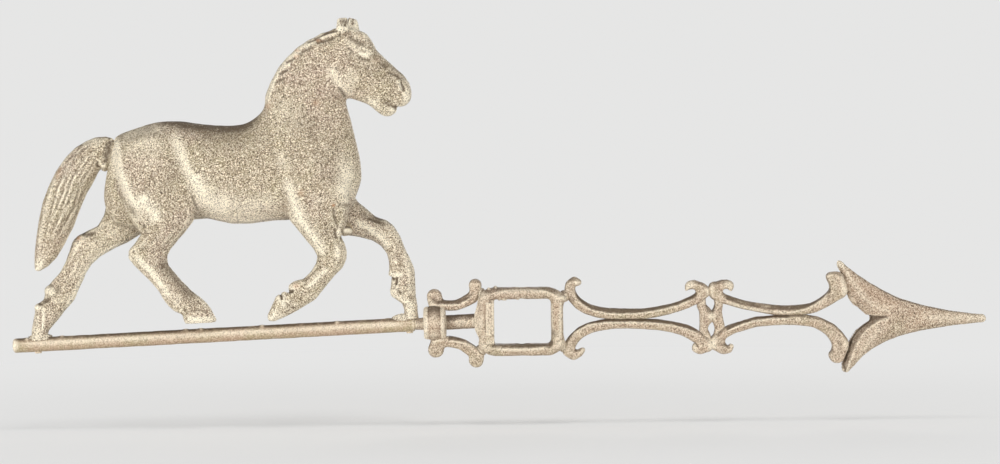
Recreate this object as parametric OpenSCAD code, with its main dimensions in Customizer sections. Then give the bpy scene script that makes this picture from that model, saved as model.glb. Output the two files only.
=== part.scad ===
// Horse weathervane for a lightning rod: a trotting horse of two cast shells stands on a
// round tail bar, and the bar is pinned on the tang of a scrolled arrow with an open yoke.
// X runs to the arrow's tip, Z up the rod, and the near side faces -Y. The origin is the
// middle of the rod's bore. The horse and its bar are drawn in the bar's own frame, whose
// origin is the middle of the bar's front end, and then leaned onto the arrow.

/* [Rod] */
// Diameter of the bore that turns on the rod
rod_bore_d = 10.2; // [8:0.1:11]

/* [Yoke] */
// Length of the yoke's frame along the arrow
yoke_length = 49.8; // [44:0.2:60]
// Height of the yoke's frame
yoke_height = 41; // [34:0.2:50]
// Thickness of a rail, seen from the side
rail_t = 7.1; // [5:0.1:9]
// Depth of a rail from the near side to the far side
rail_depth = 16; // [14:0.5:22]
// Radius of the window's corners
window_r = 2.6; // [1:0.1:5]

/* [Tail bar] */
// Length of the round bar
bar_length = 241; // [225:1:260]
// Diameter of the round bar
bar_d = 8.6; // [7.6:0.1:10]
// Angle between the bar and the arrow
bar_lean = 2.4; // [0:0.1:4]
// Diameter of the pin that joins the bar, the collar and the yoke
pin_d = 4.6; // [3:0.1:5]

/* [Horse] */
// Wall of the cast body shells
shell_wall = 2; // [1.2:0.1:3]
// Facets round the body, even
body_sides = 20; // [12:2:32]
// Facets round a leg
leg_sides = 12; // [8:1:20]

/* [Arrow] */
// Depth of the scroll bars from the near side to the far side
scroll_depth = 7; // [5:0.5:9]
// Edge bevel of the scroll bars
scroll_bevel = 1; // [0.4:0.1:1.2]

/* [Hidden] */

cast_colour = [0.70, 0.64, 0.53];
arrow_colour = [0.72, 0.62, 0.52];
bar_colour = [0.70, 0.66, 0.48];
solder_colour = [0.80, 0.78, 0.70];

near = -1;
far = 1;

// The middle of the bar's front end, the pin's length in the bar and the bar's chamfer
bar_end = [-63.9, 0, -1];
bar_r = bar_d / 2;
pin_r = pin_d / 2;
socket_depth = 20;
bar_chamfer = 0.8;
exact_sides = 48;

// Rivets that hold the two standing hooves, as distances from the bar's front end
hind_rivet_x = -226.5;
fore_rivet_x = -3.4;
rivet_r = 1.25;
rivet_head_r = 2;
rivet_head_h = 0.9;
rivet_top = 10;

// Neck, collar and sleeve in line with the bar, as distances from the bar's front end
neck_r = 3.5;
collar_x = 5.9;
collar_length = 12.4;
collar_r = 9.6;
collar_rim = 2.4;
sleeve_r = 4.4;
sleeve_end = 37;
pin_end = 43.4;

// Boss on the yoke's rear rail, [x, z], and the ridge on the rail's inner side
boss_outline = [[-24.9, 14], [-25.5, 11.5], [-27.9, 3.5], [-27.7, -4], [-25, -9.8], [-24.9, -14]];
boss_depth = 11;
ridge_depth = 17.6;
ridge_x = -20.8;
ridge_width = 4.3;
ridge_height = 26;

// Planes on which the scrolls meet each other
front_seam_z = 0.7;
head_seam_z = 1.9;
upper_curl_seam_x = 112.9;
lower_curl_seam_x = 114.5;
link_seam_x = 114.2;
link_depth = scroll_depth - 1;

bead_sides = 12;
egg_sides = 12;
tail_sides = 16;
lock_sides = 8;
wide = 700;
// How far a cut goes past the face that it opens
past = 1;

// Body from the rump to the muzzle. A station has an upper point and a lower point of the
// outline, [x, z, x, z], the middle of its width and half its width.
body_stations = [
    [-174, 121, -182.5, 86, 0, 6],
    [-172, 122.5, -181, 77.5, 0, 11],
    [-168, 124.5, -176, 70.5, 0, 14],
    [-162.5, 126, -167.5, 67, 0, 16.5],
    [-155.5, 128, -158, 65.5, 0, 18.5],
    [-146, 130, -146.5, 66, 0, 19],
    [-134, 129.5, -133, 69.5, 0, 19],
    [-121.5, 127, -121, 70, 0, 19.5],
    [-110.5, 125.5, -106.5, 66, 0, 20.5],
    [-101, 125, -94.5, 65.5, 0, 20.5],
    [-94.5, 126, -82.5, 66.5, 0, 20],
    [-90.5, 128, -69, 66.5, 0, 19.5],
    [-88, 130, -55, 63, 0, 18.5],
    [-86, 131.5, -43, 62.5, 0, 17.5],
    [-84, 134, -33, 73, 0, 16.5],
    [-82.5, 138.5, -27, 88, 0, 15],
    [-81, 145, -27, 100, 0, 12.5],
    [-77, 152.5, -29, 110.5, 0, 11],
    [-73, 159.5, -30.5, 119.5, 0, 10],
    [-66.5, 165.5, -32.5, 128.5, 0, 9.3],
    [-59.5, 171, -34, 135, 0, 9],
    [-51.5, 175, -34.5, 137.5, 0, 9],
    [-42.5, 178.5, -33, 137.5, 0, 9.4],
    [-33.5, 179, -30, 136.5, 0, 9.8],
    [-25.5, 178.5, -25.5, 135, 0, 9.8],
    [-19.5, 175.5, -21, 133, 0, 9.5],
    [-16.5, 171, -18, 130.5, 0, 9],
    [-14, 165.5, -15.5, 128, 0, 8.4],
    [-9.5, 160.5, -12, 125.5, 0, 7.6],
    [-4, 155, -8, 125, 0, 7],
    [1.5, 149.5, -4, 128.5, 0, 6.6],
    [4.5, 144.5, -1, 130, 0, 6],
    [5.5, 139.5, 1.5, 131.5, 0, 4.6],
    [5, 135.5, 3.5, 133, 0, 2.4]
];
// The shells are hollow from this station of the body to this one
hollow_from = 3;
hollow_to = 18;

// Legs from the body down. A station has the front point and the rear point.
near_hind_leg = [
    [-130.5, 112, -171.5, 109, -10, 8],
    [-125, 93.5, -174, 95, -10.5, 9],
    [-124.5, 78, -171.5, 81.5, -10.5, 9.2],
    [-127.5, 69, -165, 71, -10.5, 8.6],
    [-133, 62.5, -159.5, 63, -10, 7.6],
    [-138, 57.5, -163.5, 57.5, -9.8, 6.8],
    [-142.5, 52.5, -167.5, 53.5, -9.5, 5.8],
    [-144.5, 48.5, -168, 49, -9.3, 5.3],
    [-144, 43.5, -165, 44.5, -9.2, 4.9],
    [-141, 39.5, -161, 40, -9, 4.6],
    [-136.5, 33.5, -155.5, 34, -8.8, 4.3],
    [-131, 27.5, -151, 28, -8.6, 4.3],
    [-126, 23, -148.5, 23, -8.4, 4.6],
    [-122.5, 19.5, -146, 19, -8.2, 4.9],
    [-120.5, 16.5, -143, 16, -8, 4.7],
    [-119, 13, -138, 13.5, -8, 5.2],
    [-117.5, 9.5, -137.5, 10.5, -8, 5.6],
    [-118, 8, -136.5, 8, -8, 5]
];
near_fore_leg = [
    [-34.5, 86, -76, 92, -10.5, 8.4],
    [-34, 73, -74.5, 76.5, -10.5, 8.6],
    [-37.5, 61, -71, 66.5, -10.5, 7.6],
    [-40.5, 55, -66.5, 60.5, -10.2, 6.8],
    [-38.5, 50.5, -62.5, 55, -10, 6.2],
    [-37.5, 46, -58, 49, -10, 5.6],
    [-38, 41.5, -55.5, 44, -9.8, 5.2],
    [-40.5, 36.5, -56.5, 40, -9.7, 4.8],
    [-46, 31.5, -60, 35, -9.6, 4.3],
    [-50.5, 26.5, -64.5, 31, -9.4, 4.1],
    [-54.5, 22, -70, 30, -9.2, 4.3],
    [-57.5, 18.5, -73.5, 28, -9, 4.7],
    [-62, 16, -74, 24.5, -9, 4.1],
    [-67.5, 13, -78.5, 23.5, -9, 4.6],
    [-72.5, 10.5, -81.5, 21.5, -9, 5],
    [-79, 8, -84.5, 15.5, -9, 5.2],
    [-83, 6.5, -87, 10.5, -9, 4.6],
    [-86, 7, -87, 8.5, -9, 3.6]
];
far_hind_leg = [
    [-149, 79.5, -181, 103.5, 10, 8.4],
    [-151, 75, -182.5, 92, 10, 8.4],
    [-153, 71, -183, 84.5, 10, 8.6],
    [-158, 65.5, -184.5, 76.5, 9.5, 8],
    [-164.5, 62, -188.5, 69.5, 9, 7.2],
    [-171.5, 58, -195.5, 66.5, 8.4, 6.4],
    [-179.5, 55, -201, 64, 7.6, 6],
    [-187.5, 51, -204, 61, 6.8, 5.6],
    [-193, 46.5, -206, 55, 5.8, 5.2],
    [-196.5, 41.5, -208.5, 48.5, 4.8, 4.6],
    [-199.5, 35, -212, 42.5, 4.2, 4.3],
    [-201.5, 31, -217, 37.5, 3.6, 4.6],
    [-203.5, 26, -220, 33.5, 3, 5],
    [-206.5, 22.5, -221, 30, 2.4, 4.8],
    [-210, 19, -222.5, 26.5, 2, 4.4],
    [-213.5, 14.5, -226.5, 24, 1.6, 5],
    [-218, 10, -228.5, 16, 1.2, 5.3],
    [-220, 7.5, -230, 9, 0.8, 5.2],
    [-220.5, 3, -230.5, 3, 0.6, 5]
];
far_fore_leg = [
    [-34.5, 85, -58.5, 64.5, 10, 8.2],
    [-31, 76, -48, 57, 10, 7.6],
    [-26, 71.5, -39, 55.5, 9.6, 6.8],
    [-20.5, 66, -31.5, 54, 9, 6.3],
    [-14, 63.5, -23.5, 51.5, 8.2, 5.8],
    [-10, 60, -18.5, 48, 7.4, 5.4],
    [-6.5, 54, -15, 43, 6.6, 5.1],
    [-4, 46.5, -14, 38, 5.8, 4.7],
    [-1, 39.5, -14, 34, 5, 4.4],
    [1.5, 33, -14.5, 30.5, 4.2, 4.5],
    [1.5, 26.5, -13, 26.5, 3.4, 4.2],
    [1.5, 21, -14, 21.5, 2.6, 4.7],
    [1.5, 16, -13.5, 17.5, 2, 4.7],
    [2, 12, -7, 12.5, 1.4, 5],
    [2, 7.5, -6, 8.5, 1, 5.2],
    [2.5, 3, -7, 3.5, 0.8, 5]
];

// Tail from the rump to the tip. A station has the inner point and the outer point.
tail_stations = [
    [-180, 104.5, -174.5, 121, 0, 4],
    [-182, 103.5, -179, 122.5, 0, 5.4],
    [-184.5, 102, -185, 122.5, 0, 6.4],
    [-186.5, 98.5, -191, 120.5, 0, 7.2],
    [-189.5, 93.5, -197.5, 117, 0, 7.8],
    [-192.5, 88.5, -203.5, 111.5, 0, 8.2],
    [-195.5, 83, -210, 103.5, 0, 8.4],
    [-198.5, 76.5, -215, 94.5, 0, 8.4],
    [-201, 70, -219, 85.5, 0, 8],
    [-204.5, 64.5, -222, 74.5, 0, 7.2],
    [-208, 58.5, -224, 64.5, 0, 6.2],
    [-212.5, 51.5, -225.5, 55.5, 0, 5],
    [-218, 46.5, -226, 49, 0, 3.6],
    [-223, 44, -226, 44.5, 0, 1.8]
];

// Ears: the foot on the poll, the rear of the tip and the front of the tip, [x, z]
near_ear = [[-34.3, 178.2], [-35.4, 184.4], [-32.4, 184.8]];
far_ear = [[-27.2, 178.4], [-28.6, 185.4], [-25.8, 184.2]];
ear_y = 4.6;
ear_foot_r = 3.2;
ear_tip_r = 1;

// Swellings of the body's side: the middle, the half sizes and the lean
cheek = [[-30, 3.5, 150.5], [11, 7.4, 10.5], 0];
haunch = [[-150, 8, 100], [22, 12.6, 25], 0];
shoulder = [[-58, 8.5, 92], [18, 11.6, 28], 24];

// Eggs of solder on the horse and of braze at the yoke's corners, written in the same way
tail_egg = [[-178.2, 0, 112], [4, 6.6, 11], 18];
crotch_egg = [[-39, 0, 59.5], [4.6, 8, 4.5], 0];
hind_egg = [[-225, 0.4, 3.6], [8.4, 5.8, 2.8], 0];
fore_egg = [[-6, 0.4, 3.6], [8.6, 5.6, 2.8], 0];
corner_eggs = [for (at = [[-24.6, 17], [-24.8, -17.4], [25.8, 14.8], [25.6, -15.6]])
    [[at.x, 0, at.y], [3.2, 3.4, 3.2], 0]];

// Locks of the mane: the root on the crest and the tip on the neck, [x, z, x, z, half width]
mane_locks = [
    [-38.5, 178.3, -43.5, 172, 8.6],
    [-46.3, 176.3, -50.5, 168.7, 8.6],
    [-54, 173, -57.5, 164.8, 8.6],
    [-61, 168.8, -63.5, 160.3, 8.8],
    [-67.4, 163.3, -69, 154.7, 9.2],
    [-73, 157, -73.2, 148, 9.8],
    [-77.2, 150.3, -76, 141.3, 10.6],
    [-80.6, 142.8, -78.5, 134, 11.8]
];
lock_root_r = 1.9;
lock_out = 3.6;
lock_side_r = 2.4;
lock_tip_r = 1.3;

// Scroll bars. A bead on the middle line has [x, z, radius].
rear_upper_beads = [
    [-52, 15.5, 4.4], [-50, 11, 3], [-45, 10, 2.9], [-39, 10, 2.9], [-34, 12, 3.1],
    [-29.5, 14.5, 3.4], [-27.5, 18, 3], [-27.5, 22, 3.7]
];
rear_lower_beads = [
    [-51.5, -16.5, 4.6], [-49.5, -13, 3.1], [-45.5, -11.5, 3.2], [-40.5, -12, 3.2],
    [-35.5, -13.5, 3.2], [-30.5, -17, 3.5], [-26.5, -20.5, 3.6], [-27.5, -23, 4.3]
];
front_upper_beads = [
    [34.5, 23, 1.4], [32, 24, 2.2], [29.5, 21.5, 2.8], [29, 18, 2.9], [31, 14, 3],
    [34.5, 10, 3.1], [39.5, 7, 3.1], [45.5, 5, 3.2], [52, 4, 3.2], [62, 3.5, 3.2],
    [72.5, 3.5, 3.1], [80, 4.5, 3], [88, 6, 2.9], [96.5, 8.5, 2.8], [102.5, 11, 2.8],
    [106.5, 13, 3], [109, 16, 3.4], [107.5, 19, 3], [104, 21, 2], [100.5, 20.5, 1.7]
];
front_lower_beads = [
    [36.5, -17.5, 1.3], [34.5, -19.5, 2], [31, -20.5, 3], [28, -18, 3.5], [29, -14.5, 3.2],
    [31.5, -10.5, 3.1], [35.5, -7, 3.1], [40.5, -4.5, 3.1], [47, -3, 3.1], [54.5, -2, 3],
    [64, -2, 2.9], [73, -2.5, 2.9], [82, -3, 3.1], [90.5, -4.5, 3.2], [98, -6.5, 3.5],
    [103.5, -9.5, 3.6], [107.5, -13, 3.6], [109.5, -16, 3.7], [107, -18.5, 2.5], [104, -18, 1.7]
];
head_upper_beads = [
    [125.5, 20.5, 1.6], [123.5, 21, 2], [120, 20.5, 2.5], [117, 18.5, 3.5], [117, 15, 3.5],
    [120, 12.5, 2.9], [126, 10.5, 2.6], [132.5, 8.5, 2.5], [139.5, 7, 2.5], [148, 5.5, 2.8],
    [156, 4.5, 2.9], [163.5, 4.5, 3], [169.5, 5, 3], [175, 6, 3], [181, 9, 3.2],
    [185.5, 12, 3.7], [189, 15, 4.2], [189.5, 19, 4.2], [188.5, 23, 4.4], [186, 24.5, 2.8]
];
head_lower_beads = [
    [125.5, -16.5, 1.3], [124, -18.5, 1.9], [120.5, -18, 3], [118, -15, 3.5],
    [118.5, -11.5, 3.1], [121.5, -8.5, 2.9], [126.5, -6, 2.9], [133.5, -4, 2.9],
    [140.5, -2, 2.9], [148, -1.5, 2.8], [155.5, -1, 2.9], [163.5, -1, 3], [170.5, -1.5, 3.2],
    [176.5, -2.5, 3.3], [181.5, -5, 3.5], [185.5, -7.5, 3.8], [188.5, -11, 4.2],
    [190.5, -15, 4.2], [190.5, -19, 4.2], [189, -23, 4.4], [187, -22.5, 2.8]
];
rear_link_beads = [
    [108, 12, 2.4], [108, 8, 2.5], [110, 5, 3], [110.5, 1, 3.5], [109.5, -3, 2.5],
    [109, -6.5, 2.3], [110.5, -10, 2.6], [111.5, -13, 2.5]
];
front_link_beads = [
    [118, 12.5, 2.5], [118.5, 9, 2.3], [117.5, 4.5, 2.5], [117.5, 1, 3], [118.5, -3, 2.8],
    [119, -6.5, 2.9], [118, -9.5, 2.9], [117, -12.5, 2.5]
];

// Arrowhead: each barb from its point to the middle, upper edge then lower edge, and the
// spear from the notch to the blunt tip
upper_barb = [
    [191, 34, 190, 33, 0, 1.4],
    [195, 31, 191, 28.5, 0, 2.6],
    [201.5, 26, 193, 22.5, 0, 3.5],
    [208, 21.5, 195, 17, 0, 4.2],
    [215.5, 17, 197, 10.5, 0, 4.6],
    [223, 13, 202, 4.5, 0, 4.8],
    [232, 9, 208, -1, 0, 4.8],
    [242, 6.5, 218.5, -2, 0, 4.4],
    [254, 3.5, 233, -1.5, 0, 3.4]
];
lower_barb = [
    [192, -31.5, 194.5, -33, 0, 1.4],
    [191, -27.5, 199, -29.5, 0, 2.8],
    [193, -21, 204.5, -23.5, 0, 3.6],
    [195.5, -13.5, 210.5, -19, 0, 4.3],
    [199.5, -7.5, 218, -15, 0, 4.6],
    [204.5, -3, 226, -12, 0, 4.8],
    [208, 0, 234.5, -9.5, 0, 4.8],
    [218.5, 2, 245, -7.5, 0, 4.4],
    [234.5, 2, 256, -6, 0, 3.4]
];
spear = [
    [210.5, 5, 210.5, -4, 0, 3],
    [218, 10, 218, -9.5, 0, 4.7],
    [227.5, 11, 227, -11.5, 0, 5],
    [240.5, 7, 240, -8.5, 0, 4.7],
    [256.5, 3.5, 256.5, -6, 0, 3.8],
    [270.5, 1.5, 270.5, -4.5, 0, 3],
    [277, 1, 277, -4, 0, 2.3],
    [278.5, -0.5, 278.5, -3, 0, 1.5]
];

// Point of an elliptical section at an angle from its upper or front point
function section_point(s, a) = [
    (s[0] + s[2]) / 2 + (s[0] - s[2]) / 2 * cos(a),
    s[4] + s[5] * sin(a),
    (s[1] + s[3]) / 2 + (s[1] - s[3]) / 2 * cos(a)
];

// A station drawn in by a wall's thickness on every side
function drawn_in(s, wall) =
    let (along = [s[0] - s[2], s[1] - s[3]], step = wall * along / norm(along))
    [s[0] - step.x, s[1] - step.y, s[2] + step.x, s[3] + step.y, s[4], s[5] - wall];

// Solid through elliptical sections, round the given angles. It is closed between the last
// angle and the first.
module loft(stations, angles) {
    n = len(angles);
    last = len(stations) - 1;
    points = [for (s = stations) for (a = angles) section_point(s, a)];
    first_cap = [for (k = [n - 1:-1:0]) k];
    last_cap = [for (k = [0:n - 1]) last * n + k];
    sides = [for (i = [0:last - 1]) for (k = [0:n - 1]) let (j = (k + 1) % n)
        each [[i * n + k, i * n + j, (i + 1) * n + k], [i * n + j, (i + 1) * n + j, (i + 1) * n + k]]];
    polyhedron(points = points, faces = concat([first_cap], sides, [last_cap]));
}

module round_loft(stations, count) {
    loft(stations, [for (k = [0:count - 1]) 360 * k / count]);
}

// Flat bead with bevelled faces, as deep as a scroll bar
module bead(b, depth) {
    translate([b[0], 0, b[1]]) rotate([90, 0, 0]) {
        cylinder(h = depth - 2 * scroll_bevel, r = b[2], center = true, $fn = bead_sides);
        cylinder(h = depth, r = b[2] - scroll_bevel, center = true, $fn = bead_sides);
    }
}

// Bar that runs smoothly through its beads
module beaded_bar(beads, depth = scroll_depth) {
    for (i = [0:len(beads) - 2]) {
        hull() {
            bead(beads[i], depth);
            bead(beads[i + 1], depth);
        }
    }
}

// Half of all space above or below a level
module above(z) { translate([0, 0, z + wide / 2]) cube(wide, center = true); }
module below(z) { translate([0, 0, z - wide / 2]) cube(wide, center = true); }

// Half of all space in front of or behind a plane across the arrow
module ahead(x) { translate([x + wide / 2, 0, 0]) cube(wide, center = true); }
module behind(x) { translate([x - wide / 2, 0, 0]) cube(wide, center = true); }

// Places what is drawn in the bar's frame on the arrow
module on_bar() {
    translate(bar_end) rotate([0, -bar_lean, 0]) children();
}

module rod_along_x(from, to, r) {
    translate([from, 0, 0]) rotate([0, 90, 0]) cylinder(h = to - from, r = r, $fn = exact_sides);
}

// Space that a round bar fills, a hair larger, so that a faceted cut clears the true round
module clear_of_bar() {
    rod_along_x(-bar_length, 0, bar_r / cos(180 / exact_sides));
}

module clear_of_rivet(x) {
    translate([x, 0, 0]) cylinder(h = rivet_top, r = rivet_r / cos(180 / egg_sides), $fn = egg_sides);
}

module mane(side) {
    for (lock = mane_locks) {
        hull() {
            translate([lock[0], 0, lock[1]]) sphere(r = lock_root_r, $fn = lock_sides);
            translate([lock[0], side * lock_out, lock[1] - lock_side_r]) {
                sphere(r = lock_side_r, $fn = lock_sides);
            }
            translate([lock[2], side * (lock[4] - lock_side_r), lock[3]]) {
                sphere(r = lock_tip_r, $fn = lock_sides);
            }
        }
    }
}

module ear(side) {
    place = side == near ? near_ear : far_ear;
    hull() {
        translate([place[0].x, side * ear_y, place[0].y]) sphere(r = ear_foot_r, $fn = egg_sides);
        for (tip = [place[1], place[2]]) {
            translate([tip.x, side * ear_y, tip.y]) sphere(r = ear_tip_r, $fn = lock_sides);
        }
    }
}

// Egg at its place, mirrored to a side
module egg(e, side = far) {
    translate([e[0].x, side * e[0].y, e[0].z]) rotate([0, e[2], 0]) scale(e[1]) {
        sphere(r = 1, $fn = egg_sides);
    }
}

// Cheek, haunch and shoulder, which swell out of the body's side
module muscles(side) {
    egg(cheek, side);
    egg(haunch, side);
    egg(shoulder, side);
}

// Outside of one half of the horse, with its two legs
module half_outside(side, hind, fore) {
    start = side == far ? 0 : 180;
    half_sides = body_sides / 2;
    loft(body_stations, [for (k = [0:half_sides]) start + 180 * k / half_sides]);
    round_loft(hind, leg_sides);
    round_loft(fore, leg_sides);
    intersection() {
        union() {
            muscles(side);
            mane(side);
            ear(side);
        }
        translate([0, side * wide / 2, 0]) cube(wide, center = true);
    }
}

module body_hollow() {
    stations = [for (i = [hollow_from:hollow_to]) drawn_in(body_stations[i], shell_wall)];
    round_loft(stations, body_sides);
}

module near_half_outside() { half_outside(near, near_hind_leg, near_fore_leg); }
module far_half_outside() { half_outside(far, far_hind_leg, far_fore_leg); }

module horse_near_half() {
    color(cast_colour) on_bar() difference() {
        near_half_outside();
        body_hollow();
    }
}

module horse_far_half() {
    color(cast_colour) on_bar() difference() {
        far_half_outside();
        body_hollow();
        clear_of_bar();
        clear_of_rivet(hind_rivet_x);
        clear_of_rivet(fore_rivet_x);
    }
}

module tail() {
    color(cast_colour) on_bar() round_loft(tail_stations, tail_sides);
}

// Solder that has run round a joint is an egg less the pieces that it joins
module tail_solder() {
    color(solder_colour) on_bar() difference() {
        egg(tail_egg);
        near_half_outside();
        far_half_outside();
        round_loft(tail_stations, tail_sides);
    }
}

module foreleg_solder() {
    color(solder_colour) on_bar() difference() {
        egg(crotch_egg);
        near_half_outside();
        far_half_outside();
    }
}

module hind_hoof_solder() {
    color(solder_colour) on_bar() difference() {
        egg(hind_egg);
        far_half_outside();
        clear_of_bar();
    }
}

module fore_hoof_solder() {
    color(solder_colour) on_bar() difference() {
        egg(fore_egg);
        far_half_outside();
        clear_of_bar();
        ahead(0);
    }
}

module rivet(x) {
    difference() {
        translate([x, 0, -bar_r - rivet_head_h]) {
            cylinder(h = rivet_head_h + bar_r / 2, r = rivet_head_r, $fn = exact_sides);
        }
        rod_along_x(x - bar_r, x + bar_r, bar_r);
    }
    translate([x, 0, -bar_r - rivet_head_h / 2]) {
        cylinder(h = rivet_top + bar_r + rivet_head_h / 2, r = rivet_r, $fn = exact_sides);
    }
}

// Hole for a rivet, right through the bar
module rivet_hole(x) {
    translate([x, 0, 0]) cylinder(h = 4 * bar_r, r = rivet_r, center = true, $fn = exact_sides);
}

module hind_hoof_rivet() { color(bar_colour) on_bar() rivet(hind_rivet_x); }
module fore_hoof_rivet() { color(bar_colour) on_bar() rivet(fore_rivet_x); }

module tail_bar() {
    outline = [
        [0, 0], [bar_r - bar_chamfer, 0], [bar_r, bar_chamfer], [bar_r, bar_length - bar_chamfer],
        [bar_r - bar_chamfer, bar_length], [0, bar_length]
    ];
    color(bar_colour) on_bar() difference() {
        rotate([0, -90, 0]) rotate_extrude($fn = exact_sides) polygon(outline);
        rod_along_x(-socket_depth, past, pin_r);
        rivet_hole(hind_rivet_x);
        rivet_hole(fore_rivet_x);
    }
}

// Turned pin: a spigot in the bar, a thick neck, and a shank through the collar to the yoke
module arrow_tang() {
    color(arrow_colour) on_bar() difference() {
        union() {
            rod_along_x(-socket_depth, pin_end, pin_r);
            rod_along_x(0, collar_x, neck_r);
        }
        rivet_hole(fore_rivet_x);
    }
}

module collar() {
    waist_r = collar_r - 0.5;
    outline = [
        [pin_r, 0], [collar_r - 0.7, 0], [collar_r, 0.7], [collar_r, collar_rim - 0.6],
        [waist_r, collar_rim], [waist_r, collar_length - collar_rim],
        [collar_r, collar_length - collar_rim + 0.6], [collar_r, collar_length - 0.7],
        [collar_r - 0.7, collar_length], [pin_r, collar_length]
    ];
    color(arrow_colour) on_bar() translate([collar_x, 0, 0]) rotate([0, 90, 0]) {
        rotate_extrude($fn = exact_sides) polygon(outline);
    }
}

module tang_sleeve() {
    from = collar_x + collar_length;
    color(arrow_colour) on_bar() difference() {
        rod_along_x(from, sleeve_end, sleeve_r);
        rod_along_x(from - past, sleeve_end + past, pin_r);
    }
}

// Section of a rail: flat top and bottom, round near and far edges
module rail_section() {
    square([rail_t, rail_depth - rail_t], center = true);
    for (side = [near, far]) {
        translate([0, side * (rail_depth - rail_t) / 2]) circle(d = rail_t, $fn = exact_sides);
    }
}

// The yoke lies in the XY plane while its rails are drawn
module rail(length) {
    rotate([90, 0, 90]) linear_extrude(length, center = true) rail_section();
}

module corner() {
    rotate_extrude(angle = 90, $fn = exact_sides) translate([window_r + rail_t / 2, 0]) rail_section();
}

module yoke_frame() {
    straight_x = yoke_length - 2 * (rail_t + window_r);
    straight_y = yoke_height - 2 * (rail_t + window_r);
    for (side = [near, far]) {
        translate([0, side * (yoke_height - rail_t) / 2, 0]) rail(straight_x);
        translate([side * (yoke_length - rail_t) / 2, 0, 0]) rotate([0, 0, 90]) rail(straight_y);
    }
    for (quarter = [[1, 1, 0], [-1, 1, 90], [-1, -1, 180], [1, -1, 270]]) {
        translate([quarter[0] * straight_x / 2, quarter[1] * straight_y / 2, 0]) {
            rotate([0, 0, quarter[2]]) corner();
        }
    }
}

// Boss and ridge of the rear rail, drawn with the rails
module rear_rail_boss() {
    root_x = rail_t / 2 - yoke_length / 2;
    linear_extrude(boss_depth, center = true) {
        polygon(concat([[root_x, boss_outline[0].y]], boss_outline, [[root_x, -boss_outline[0].y]]));
    }
    translate([ridge_x + ridge_width / 2, 0, 0]) {
        cube([ridge_width, ridge_height, ridge_depth], center = true);
    }
}

module yoke() {
    color(arrow_colour) difference() {
        rotate([90, 0, 0]) {
            yoke_frame();
            rear_rail_boss();
        }
        cylinder(h = 2 * yoke_height, d = rod_bore_d, center = true, $fn = exact_sides);
        on_bar() {
            rod_along_x(collar_x, sleeve_end, sleeve_r);
            rod_along_x(collar_x, pin_end, pin_r);
        }
    }
}

// Space that the collar fills, a hair larger
module clear_of_collar() {
    on_bar() rod_along_x(collar_x - 0.1, collar_x + collar_length + 0.1, collar_r + 0.02);
}

// Space that the yoke's outer corners fill
module clear_of_yoke() {
    straight_x = yoke_length - 2 * (rail_t + window_r);
    straight_z = yoke_height - 2 * (rail_t + window_r);
    corner_r = (window_r + rail_t) / cos(180 / exact_sides);
    hull() for (x = [-1, 1]) for (z = [-1, 1]) {
        translate([x * straight_x / 2, 0, z * straight_z / 2]) rotate([90, 0, 0]) {
            cylinder(h = rail_depth, r = corner_r, center = true, $fn = exact_sides);
        }
    }
}

module rear_scroll(beads) {
    difference() {
        beaded_bar(beads);
        clear_of_collar();
        clear_of_yoke();
    }
}

module rear_scroll_upper() { color(arrow_colour) rear_scroll(rear_upper_beads); }
module rear_scroll_lower() { color(arrow_colour) rear_scroll(rear_lower_beads); }

module front_scroll_upper() {
    color(arrow_colour) difference() {
        beaded_bar(front_upper_beads);
        below(front_seam_z);
        ahead(upper_curl_seam_x);
        clear_of_yoke();
    }
}

module front_scroll_lower() {
    color(arrow_colour) difference() {
        beaded_bar(front_lower_beads);
        above(front_seam_z);
        ahead(lower_curl_seam_x);
        clear_of_yoke();
    }
}

module head_scroll_upper() {
    color(arrow_colour) difference() {
        beaded_bar(head_upper_beads);
        below(head_seam_z);
        behind(upper_curl_seam_x);
        arrow_head_shape();
    }
}

module head_scroll_lower() {
    color(arrow_colour) difference() {
        beaded_bar(head_lower_beads);
        above(head_seam_z);
        behind(lower_curl_seam_x);
        arrow_head_shape();
    }
}

module rear_link() {
    color(arrow_colour) difference() {
        beaded_bar(rear_link_beads, link_depth);
        ahead(link_seam_x);
        beaded_bar(front_upper_beads);
        beaded_bar(front_lower_beads);
        head_scroll_lower();
    }
}

module front_link() {
    color(arrow_colour) difference() {
        beaded_bar(front_link_beads, link_depth);
        behind(link_seam_x);
        beaded_bar(head_upper_beads);
        beaded_bar(head_lower_beads);
        front_scroll_lower();
    }
}

module arrow_head_shape() {
    round_loft(upper_barb, leg_sides);
    round_loft(lower_barb, leg_sides);
    round_loft(spear, leg_sides);
}

module arrow_head() {
    color(arrow_colour) arrow_head_shape();
}

// Braze that bridges the yoke's corners and the scrolls beside them
module corner_brazes() {
    color(solder_colour) difference() {
        for (e = corner_eggs) {
            egg(e);
        }
        clear_of_yoke();
        beaded_bar(rear_upper_beads);
        beaded_bar(rear_lower_beads);
        beaded_bar(front_upper_beads);
        beaded_bar(front_lower_beads);
    }
}

horse_near_half();
horse_far_half();
tail();
tail_solder();
foreleg_solder();
hind_hoof_solder();
fore_hoof_solder();
hind_hoof_rivet();
fore_hoof_rivet();
tail_bar();
arrow_tang();
collar();
tang_sleeve();
yoke();
rear_scroll_upper();
rear_scroll_lower();
front_scroll_upper();
front_scroll_lower();
rear_link();
front_link();
head_scroll_upper();
head_scroll_lower();
arrow_head();
corner_brazes();
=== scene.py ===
"""Looks of the horse weathervane, laid out as a Blender add-on and run as a script.

Each casting starts as a fine copy of its CAD node, is smoothed, sculpted with strokes and
marked with wear, grime, rust, painted highlights and painted shade. Strokes are placed by
pixels of the picture, 0.6 mm to a pixel at the vane's middle plane. All sizes are in metres
unless a name says otherwise.
"""

import math

import bmesh
import bpy
import numpy as np
from bpy.props import FloatProperty, FloatVectorProperty, IntProperty, PointerProperty
from mathutils import Matrix, Vector


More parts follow.
